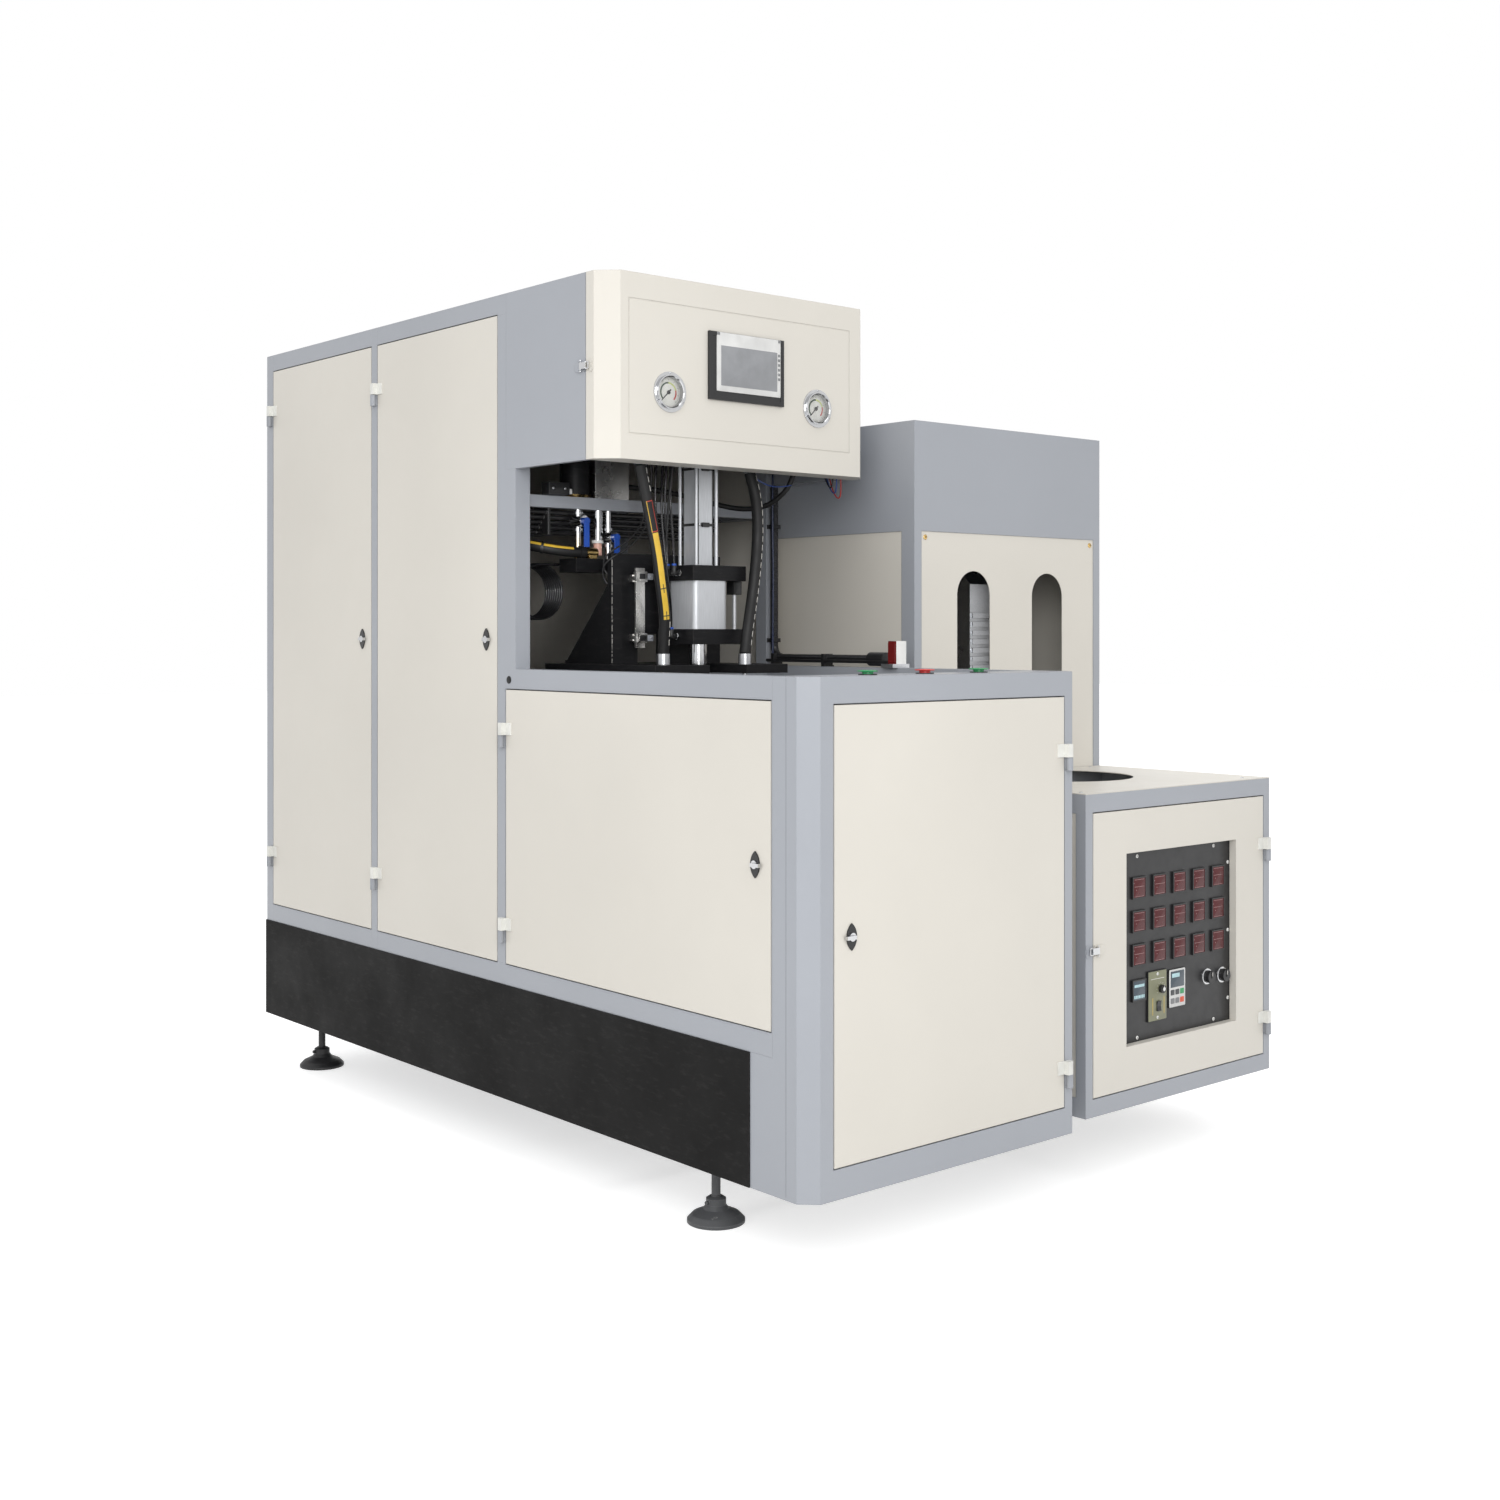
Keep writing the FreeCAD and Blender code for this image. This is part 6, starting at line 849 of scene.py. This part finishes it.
def fixings():
    """Screws of the desk and the oven's front; plug and fold line on the left side."""
    b = Build()
    for k, (x, y) in enumerate(DESK_SCREWS):
        b.screw(top(0, 0, DESK_TOP), x, y, 4.6, 1.6, "steel", 40 * k)
    for k, x in enumerate(OVEN_SCREWS):
        b.screw(front(0, OVEN_Y, 0), x, OVEN_SCREW_Z, 6.2, 2.6, "brass", 30 + 25 * k)
    b.piece("panel_screws", BODY, "steel")
    side = left(0, 0, 0)
    p = Build()
    p.turned("rubber", side, -PLUG[0], PLUG[1], [(8.5, 0), (8.5, 0.9), (7.2, 1.8), (4, 2.1)])
    p.slab("seam", side, rounded(-FOLD_Y - 0.4, FOLD_Z[0], -FOLD_Y + 0.4, FOLD_Z[1]),
           -0.1, 0.12, 0.04)
    p.piece("post_plug", BODY, "rubber")


fixings()

# ---- blow column
BLOCK_X = (328.0, 482.0)
BLOCKS = ((1132.0, 1166.0), (1275.0, 1309.0))
CYL_X = (358.0, 410.0)  # stretch cylinder
CYL_Y = (761.0, 813.0)
CYL_GROOVES = (1312.0, 1757.0)
STRAPS = (1401.0, 1527.0)
ELBOW_X = 309.0
ELBOWS = ((780.0, 1292.0), (804.0, 1292.0), (828.0, 1292.0), (790.0, 1150.0))
RAIL_Y = 838.0
CLAMPS = (1146.0, 1284.0)
PLATE_X = 203.3  # 0.3 mm inside the column plate's left edge
PLATE_Y = 870.0
HIGHLIGHT_SPAN = (1090.0, 1325.0)  # span of the painted highlight on its left edge


def cylinder_trim():
    """Block screws, straps of the switches and grooves of the stretch cylinder."""
    b = Build()
    face = front(0, front_of("blow_cylinders"), 0)
    for z0, z1 in BLOCKS:
        for x in (BLOCK_X[0] + 12, BLOCK_X[1] - 12):
            b.turned("black", face, x, (z0 + z1) / 2,
                     [(4.8, -0.3), (4.8, 0.8), (4.2, 1.3), (2.4, 1.4)], 24)
    x, y = CYL_X[0], CYL_Y[0] - 0.9
    for z in STRAPS:
        ring = rounded(x - 0.9, y, CYL_X[1] + 0.9, CYL_Y[1] + 0.9, 3)
        b.slab("black", top(0, 0, z), ring, -3, 3, 0.4)
        b.screw(front(x + 9, y, z), 0, 0, 3.4, 2.2, "steel", 20)
        b.slab("black", front(0, y, 0), rounded(x + 14, z - 5, x + 34, z + 5, 1.5), -0.2, 5, 0.8)
    low, high = CYL_GROOVES
    for a in (CYL_X[0] + 5, CYL_X[1] - 7):
        b.slab("slot", front(0, CYL_Y[0], 0), rounded(a, low, a + 2, high), -0.1, 0.12, 0.03)
    for a in (CYL_Y[0] + 5, CYL_Y[1] - 7):
        b.slab("slot", left(CYL_X[0], 0, 0), rounded(-a - 2, low, -a, high), -0.1, 0.12, 0.03)
    b.piece("cylinder_trim", BODY, "black_plastic")


def elbows():
    """Push-in elbows on the left side of the blocks: nut, body, and blue release ring."""
    b = Build()
    for y, z in ELBOWS:
        side = left(BLOCK_X[0], y, z)
        b.turned("chrome", side, 0, 0, [(8.2, -0.5), (8.2, 4.6), (7.4, 5.4), (5.6, 5.6)], 6)
        b.turned("black", side, 0, 0,
                 [(5.8, 5.0), (5.8, 12), (5.8, 22), (5.0, 24.5), (2.5, 25)], 24)
        riser = top(ELBOW_X, y, z)
        b.turned("black", riser, 0, 0, [(5.8, -4), (5.8, 15), (5.2, 16)], 24)
        b.turned("blue", riser, 0, 0, [(4.9, 15.5), (5.4, 16.6), (5.4, 19.6), (4.8, 20.4)], 24)
    b.piece("push_in_elbows", BODY, "black_plastic")


def rail_clamps():
    b = Build()
    rail = front(0, RAIL_Y, 0)
    for z in CLAMPS:
        b.slab("stainless", rail, rounded(244, z - 11, 274, z + 11, 1.5), -5.5, 7, 0.8)
        b.slab("black", rail, rounded(251, z - 6, 267, z + 6, 1), 6.5, 8.2, 0.4)
        b.slab("hinge_gray", rail, rounded(273, z - 7, 292, z + 7, 2), -2, 5, 0.8)
        b.screw(rail, 286, z, 3.2, 6.6, "steel", z)
    b.piece("rail_clamps", BODY, "steel")


def edge_highlight():
    """Painted highlight along the column plate's left edge, as pale marks of uneven length."""
    b = Build()
    z = HIGHLIGHT_SPAN[0]
    while z < HIGHLIGHT_SPAN[1]:
        length = random.uniform(4, 22)
        right = PLATE_X + random.uniform(0.7, 1.5)
        b.slab("pale", front(0, PLATE_Y, 0), rounded(PLATE_X, z, right, z + length),
               -0.2, 0.12, 0.05)
        z += length + random.uniform(1, 7)
    b.piece("edge_highlight", BODY, "black_paint")


def switch_boxes():
    """Switch on the guide rod; valve box and white fitting on the cross beam."""
    b = Build()
    b.slab("black", front(0, 782.0, 0), rounded(464, 1245, 488, 1275, 2), 0, 26, 1.0)
    b.slab("black", front(0, 990.0, 0), rounded(96, 1468, 152, 1496, 2), 0, 30, 1.2)
    b.slab("white", front(0, 984.0, 0), rounded(153, 1472, 167, 1484, 1), -2, 12, 0.8)
    for x, turn in ((108, 10), (140, 50)):
        b.screw(front(0, 960.0, 0), x, 1482, 3, 1.6, "steel", turn)
    b.piece("switch_boxes", BODY, "black_plastic")


cylinder_trim()
elbows()
rail_clamps()
edge_highlight()
switch_boxes()

# ---- hoses
left_hose = [(188, 745, 1524), (204, 748, 1467), (224, 752, 1400), (245, 757, 1327),
    (260, 764, 1263), (277, 772, 1199), (282, 780, 1155), (283, 786, 1111)]
right_hose = [(502, 745, 1524), (512, 736, 1478), (507, 722, 1411), (500, 716, 1355),
    (488, 712, 1278), (473, 708, 1212), (458, 704, 1150), (449, 700, 1111)]
feed_line = [(205, 976, 1340), (148, 979, 1342), (88, 1014, 1354), (58, 1080, 1368),
    (56, 1162, 1377), (70, 1290, 1380), (110, 1450, 1374), (165, 1610, 1350),
    (205, 1740, 1300), (222, 1825, 1225), (215, 1860, 1140), (215, 1860, 1084)]
head_wires = [(640, 742, 1546), (632, 748, 1505), (616, 777, 1471), (603, 815, 1453),
    (573, 857, 1449), (538, 900, 1460), (500, 950, 1478), (458, 987, 1492),
    (405, 1010, 1499), (336, 1014, 1501)]
block_line = [(290, 757, 1546), (281, 763, 1455), (283, 777, 1350), (286, 787, 1310),
    (300, 790, 1292), (322, 790, 1291)]
COIL_AT = (128.0, 1076.0, 1252.0)
COIL_R = 62.0
COIL_PITCH = 9.0
COIL_LOOPS = 8
COIL_START_X = 236.0
coil_tail = [(60, 1085, 1196), (60, 1045, 1166), (54, 1018, 1157), (46, 1008, 1155)]


def cord_curve(name, points, radius, material):
    """Round cord on a smooth curve whose control points are the route."""
    data = bpy.data.curves.new(name, "CURVE")
    data.dimensions = "3D"
    spline = data.splines.new("NURBS")
    spline.points.add(len(points) - 1)
    for point, p in zip(spline.points, points):
        point.co = (*at(*p), 1)
    spline.order_u = 3
    spline.use_endpoint_u = True
    spline.resolution_u = 8
    data.bevel_depth = radius * MM
    data.bevel_resolution = 6
    data.use_fill_caps = True
    return new_piece(name, data, material, BODY)


def spline_length(piece):
    """Points of a cord's centre line, and its length in metres."""
    data = piece.data.copy()
    data.bevel_depth = 0
    probe = bpy.data.objects.new("probe", data)
    mesh = bpy.data.meshes.new_from_object(probe)
    points = [v.co.copy() for v in mesh.vertices]
    bpy.data.objects.remove(probe)
    bpy.data.meshes.remove(mesh)
    return points, sum((b - a).length for a, b in zip(points, points[1:]))


def coil_points():
    """Twelve points to a turn, then the tail to the post."""
    cx, cy, cz = COIL_AT
    y0 = cy - COIL_PITCH * COIL_LOOPS / 2
    step = tau / 12
    r = COIL_R / cos(step / 2)
    points = [(COIL_START_X, y0 - COIL_PITCH / 24, cz + COIL_R), (180, y0, cz + COIL_R)]
    for k in range(12 * COIL_LOOPS + 3):
        a = pi / 2 + step * (k + 0.5)
        y = y0 + COIL_PITCH * (k + 0.5) / 12
        points.append((cx + r * cos(a), y, cz + r * sin(a)))
    return points + coil_tail


class Line:
    """Centre line of a laid cord, by its length in millimetres."""

    def __init__(self, piece):
        self.points, total = spline_length(piece)
        self.total = total / MM
        self.marks = [0.0]
        for a, b in zip(self.points, self.points[1:]):
            self.marks.append(self.marks[-1] + (b - a).length / MM)

    def at(self, s):
        """Point and direction at a length along the line."""
        k = 0
        while k < len(self.marks) - 2 and self.marks[k + 1] < s:
            k += 1
        a, b = self.points[k], self.points[k + 1]
        t = (s - self.marks[k]) / (self.marks[k + 1] - self.marks[k])
        before = (a - self.points[k - 1]).normalized() if k else (b - a).normalized()
        here = (b - a).normalized()
        return a.lerp(b, t), before.lerp(here, 0.5 + t / 2).normalized()

    def frame(self, s, toward):
        """Point, direction, and the side of the line that faces a given way."""
        p, along = self.at(s)
        toward = Vector(toward)
        out = (toward - along * toward.dot(along)).normalized()
        return p, along, out, along.cross(out)


def around(p, out, side, radius, turns):
    """Points at some angles round a centre."""
    return [p + (out * cos(t) + side * sin(t)) * radius * MM for t in turns]


def stripe(build, material, line, radius, toward, start, end, half, thick=0.25, step=6.0):
    """Printed stripe on a hose: half its width in degrees round the hose."""
    count = max(1, int((end - start) / step))
    rings = []
    for k in range(count + 1):
        p, _, out, side = line.frame(start + (end - start) * k / count, toward)
        turns = [radians(half * (i / 3 - 1)) for i in range(7)]
        rings.append(around(p, out, side, radius + thick, turns)
                     + around(p, out, side, radius - 0.3, reversed(turns)))
    build.loft(material, rings)


def collar(build, material, line, s, profile, count=32, toward=(0, -1, 0)):
    """Turned ring round a cord; the profile is (radius, place along the cord) pairs."""
    p, along, out, side = line.frame(s, toward)
    turns = [tau * k / count for k in range(count)]
    build.loft(material, [around(p + along * place * MM, out, side, radius, turns)
                          for radius, place in profile], caps=(False, False))


def lay_cord(name, points, radius, material, node, trim=None):
    """Cord laid on its route, hiding the node it takes the place of; trim makes the pieces that
    sit on it.
    """
    piece = cord_curve(name, points, radius, material)
    if node:
        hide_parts(node)
    trim(Line(piece)) if trim else ()


HOSE_R = 13
FEED_R = 12
FACING = (-0.28, -0.94, 0)
RIGHT_EDGE = (0.45, -0.89, 0)


def left_hose_print(line):
    b = Build()
    for s in (*range(8, 68, 20), *range(354, 408, 20)):
        stripe(b, "pale", line, HOSE_R, RIGHT_EDGE, s, s + 13, 7)
    for s in (80, 148):
        stripe(b, "red_print", line, HOSE_R, FACING, s, s + 2, 34)
    for turn in (-30, 30):
        t = radians(turn)
        way = (FACING[0] * cos(t) - FACING[1] * sin(t),
               FACING[0] * sin(t) + FACING[1] * cos(t), 0)
        stripe(b, "yellow" if turn < 0 else "red_print", line, HOSE_R, way, 80, 150, 3.5)
    stripe(b, "yellow", line, HOSE_R, FACING, 152, 348, 30)
    for s in (276, 338):
        stripe(b, "slot", line, HOSE_R, FACING, s, s + 2.4, 33, 0.4)
        stripe(b, "slot", line, HOSE_R, FACING, s - 9, s + 11, 4, 0.4)
    return [b.piece("hose_left_print", BODY)]


def right_hose_print(line):
    b = Build()
    for s in range(10, 400, 20):
        stripe(b, "pale", line, HOSE_R, RIGHT_EDGE, s, s + 13, 6)
    return [b.piece("hose_right_print", BODY)]


def feed_hose_print(line):
    b = Build()
    stripe(b, "yellow", line, FEED_R, (-0.5, -0.62, 0.6), 34, 170, 16)
    collar(b, "black", line, 104, [(12.1, -3.2), (13.4, -3), (13.4, 3), (12.1, 3.2)])
    collar(b, "rubber", line, 9, [(12.1, -7), (15, -6.6), (15, 6.6), (12.1, 7)])
    return [b.piece("hose_feed_print", BODY)]


lay_cord("hose_left", left_hose, HOSE_R, "rubber", "air_hose_left",
         left_hose_print)
lay_cord("hose_right", right_hose, HOSE_R, "rubber", "air_hose_right",
         right_hose_print)
lay_cord("hose_feed", feed_line, FEED_R, "rubber", "feed_hose",
         feed_hose_print)
lay_cord("wires", head_wires, 6, "rubber", "wiring_harness")
line = cord_curve("block_line", block_line, 3, "rubber")
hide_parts("wiring_harness")
lay_cord("coil", coil_points(), 3, "tubing", "tube_coil")

# Thin tubes and wires that only the looks need, each with its own real length.
BAR_Z = 1546.0  # underside of the hose bar inside the head
THIN = {
    "tube_a": ([(296, 776, BAR_Z), (292, 774, 1460), (305, 779, 1370), (309, 780, 1311)],
        2.6, "tubing", 0.236),
    "tube_b": ([(303, 798, BAR_Z), (296, 800, 1455), (307, 804, 1370), (309, 804, 1311)],
        2.6, "tubing", 0.236),
    "tube_c": ([(292, 822, BAR_Z), (286, 824, 1450), (306, 828, 1370), (309, 828, 1311)],
        2.6, "tubing", 0.237),
    "tube_d": ([(286, 790, BAR_Z), (272, 782, 1450), (274, 770, 1340), (290, 772, 1250),
        (308, 788, 1205), (309, 790, 1169)], 2.6, "tubing", 0.384),
    "cable_a": ([(300, 866, BAR_Z), (298, 868, 1450), (286, 869, 1398), (240, 867, 1360),
        (202, 874, 1340), (196, 896, 1320), (207, 900, 1290), (216, 886, 1280)],
        2.0, "black", 0.325),
    "cable_b": ([(310, 862, BAR_Z), (306, 863, 1440), (290, 864, 1388), (244, 862, 1348),
        (200, 868, 1326), (193, 894, 1304), (206, 902, 1270), (216, 886, 1260)],
        2.0, "black", 0.353),
    "blue_wire": ([(516, 740, 1512), (542, 742, 1499), (596, 745, 1495), (632, 748, 1503)],
        1.3, "wire_blue", 0.119),
    "red_loop": ([(738, 694, BAR_Z), (742, 692, 1490), (744, 706, 1470), (742, 728, 1500),
        (740, 738, BAR_Z)], 1.5, "wire_red", 0.155),
    "blue_loop": ([(731, 700, BAR_Z), (735, 700, 1502), (738, 714, 1482), (736, 734, 1510),
        (733, 742, BAR_Z)], 1.5, "wire_blue", 0.131),
    "black_loop": ([(726, 706, BAR_Z), (729, 708, 1514), (732, 720, 1496), (730, 736, 1520),
        (727, 744, BAR_Z)], 1.5, "black", 0.102),
    "navy_tube": ([(732, 927, BAR_Z), (731, 927, 1440), (733, 926, 1300), (732, 927, 1180),
        (732, 927, 1087)], 2.5, "tube_navy", 0.459),
    "arch_wire_a": ([(1262, 704, 1010), (1276, 690, 960), (1290, 676, 900), (1306, 660, 872)],
        1.4, "wire_white", 0.152),
    "arch_wire_b": ([(1262, 716, 990), (1282, 704, 930), (1304, 690, 884), (1330, 668, 868)],
        1.4, "wire_white", 0.153),
}
for name, (points, radius, material, length) in THIN.items():
    lay_cord(name, points, radius, material, None)

# ---- stage and light
bpy.ops.mesh.primitive_plane_add(size=60, location=(0, 0, 0))
floor = bpy.context.object
floor.name = "floor"


def white_surface(name, color, show):
    """Diffuse floor that the camera and reflections see nearly white, with its shadow kept."""
    m = Mat(name)
    m.set(Base_Color=color, Roughness=0.7)
    out = m.tree.nodes["Material Output"]
    path = m.add("ShaderNodeLightPath")
    seen = m.math("MAXIMUM", path.outputs["Is Camera Ray"], path.outputs["Is Glossy Ray"])
    glow = m.add("ShaderNodeEmission")
    glow.inputs["Color"].default_value = (1, 1, 1, 1)
    m.link(m.math("MULTIPLY", seen, show), glow.inputs["Strength"])
    total = m.add("ShaderNodeAddShader")
    m.link(m.bsdf.outputs[0], total.inputs[0])
    m.link(glow.outputs[0], total.inputs[1])
    m.link(total.outputs[0], out.inputs["Surface"])
    return m.mat


floor.data.materials.append(white_surface("floor_white", (0.62, 0.62, 0.62), 0.60))

world = bpy.data.worlds.new("studio")
bpy.context.scene.world = world
world.use_nodes = True
tree = world.node_tree
background = tree.nodes["Background"]
path = tree.nodes.new("ShaderNodeLightPath")
seen = tree.nodes.new("ShaderNodeMath")
seen.operation = "MAXIMUM"
tree.links.new(path.outputs["Is Camera Ray"], seen.inputs[0])
tree.links.new(path.outputs["Is Glossy Ray"], seen.inputs[1])
strength = tree.nodes.new("ShaderNodeMapRange")
strength.inputs["To Min"].default_value = 0.94
strength.inputs["To Max"].default_value = 1.0
tree.links.new(seen.outputs[0], strength.inputs["Value"])
tree.links.new(strength.outputs["Result"], background.inputs["Strength"])
background.inputs["Color"].default_value = (1, 1, 1, 1)


def area_light(name, place, target, size, power):
    data = bpy.data.lights.new(name, "AREA")
    data.shape = "RECTANGLE"
    data.size, data.size_y = size
    data.energy = power
    lamp = linked(name, data)
    lamp.location = place
    lamp.rotation_euler = (Vector(target) - Vector(place)).to_track_quat("-Z", "Y").to_euler()


area_light("key", (-5.0, -3.0, 3.6), (0, 0, 0.9), (3.0, 3.0), 48)
area_light("fill", (-2.6, -3.9, 2.1), (0.1, -0.2, 1.0), (2.0, 2.0), 66)
area_light("top", (0, 0, 5.2), (0, 0, 0), (4.0, 4.0), 45)
area_light("back", (3.5, 4.5, 3.2), (0, 0, 1.0), (3.0, 3.0), 90)

# Narrow soft spot through the opening, onto the walls of the work area.
spot_data = bpy.data.lights.new("work_area", "SPOT")
spot_data.energy = 150
spot_data.spot_size = radians(7.6)
spot_data.spot_blend = 0.85
spot_data.shadow_soft_size = 0.2
spot = linked("work_area", spot_data)
spot.location = CAMERA + Vector((0.35, -0.2, 0.1))
spot.rotation_euler = (at(215, 1000, 1285) - spot.location).to_track_quat("-Z", "Y").to_euler()
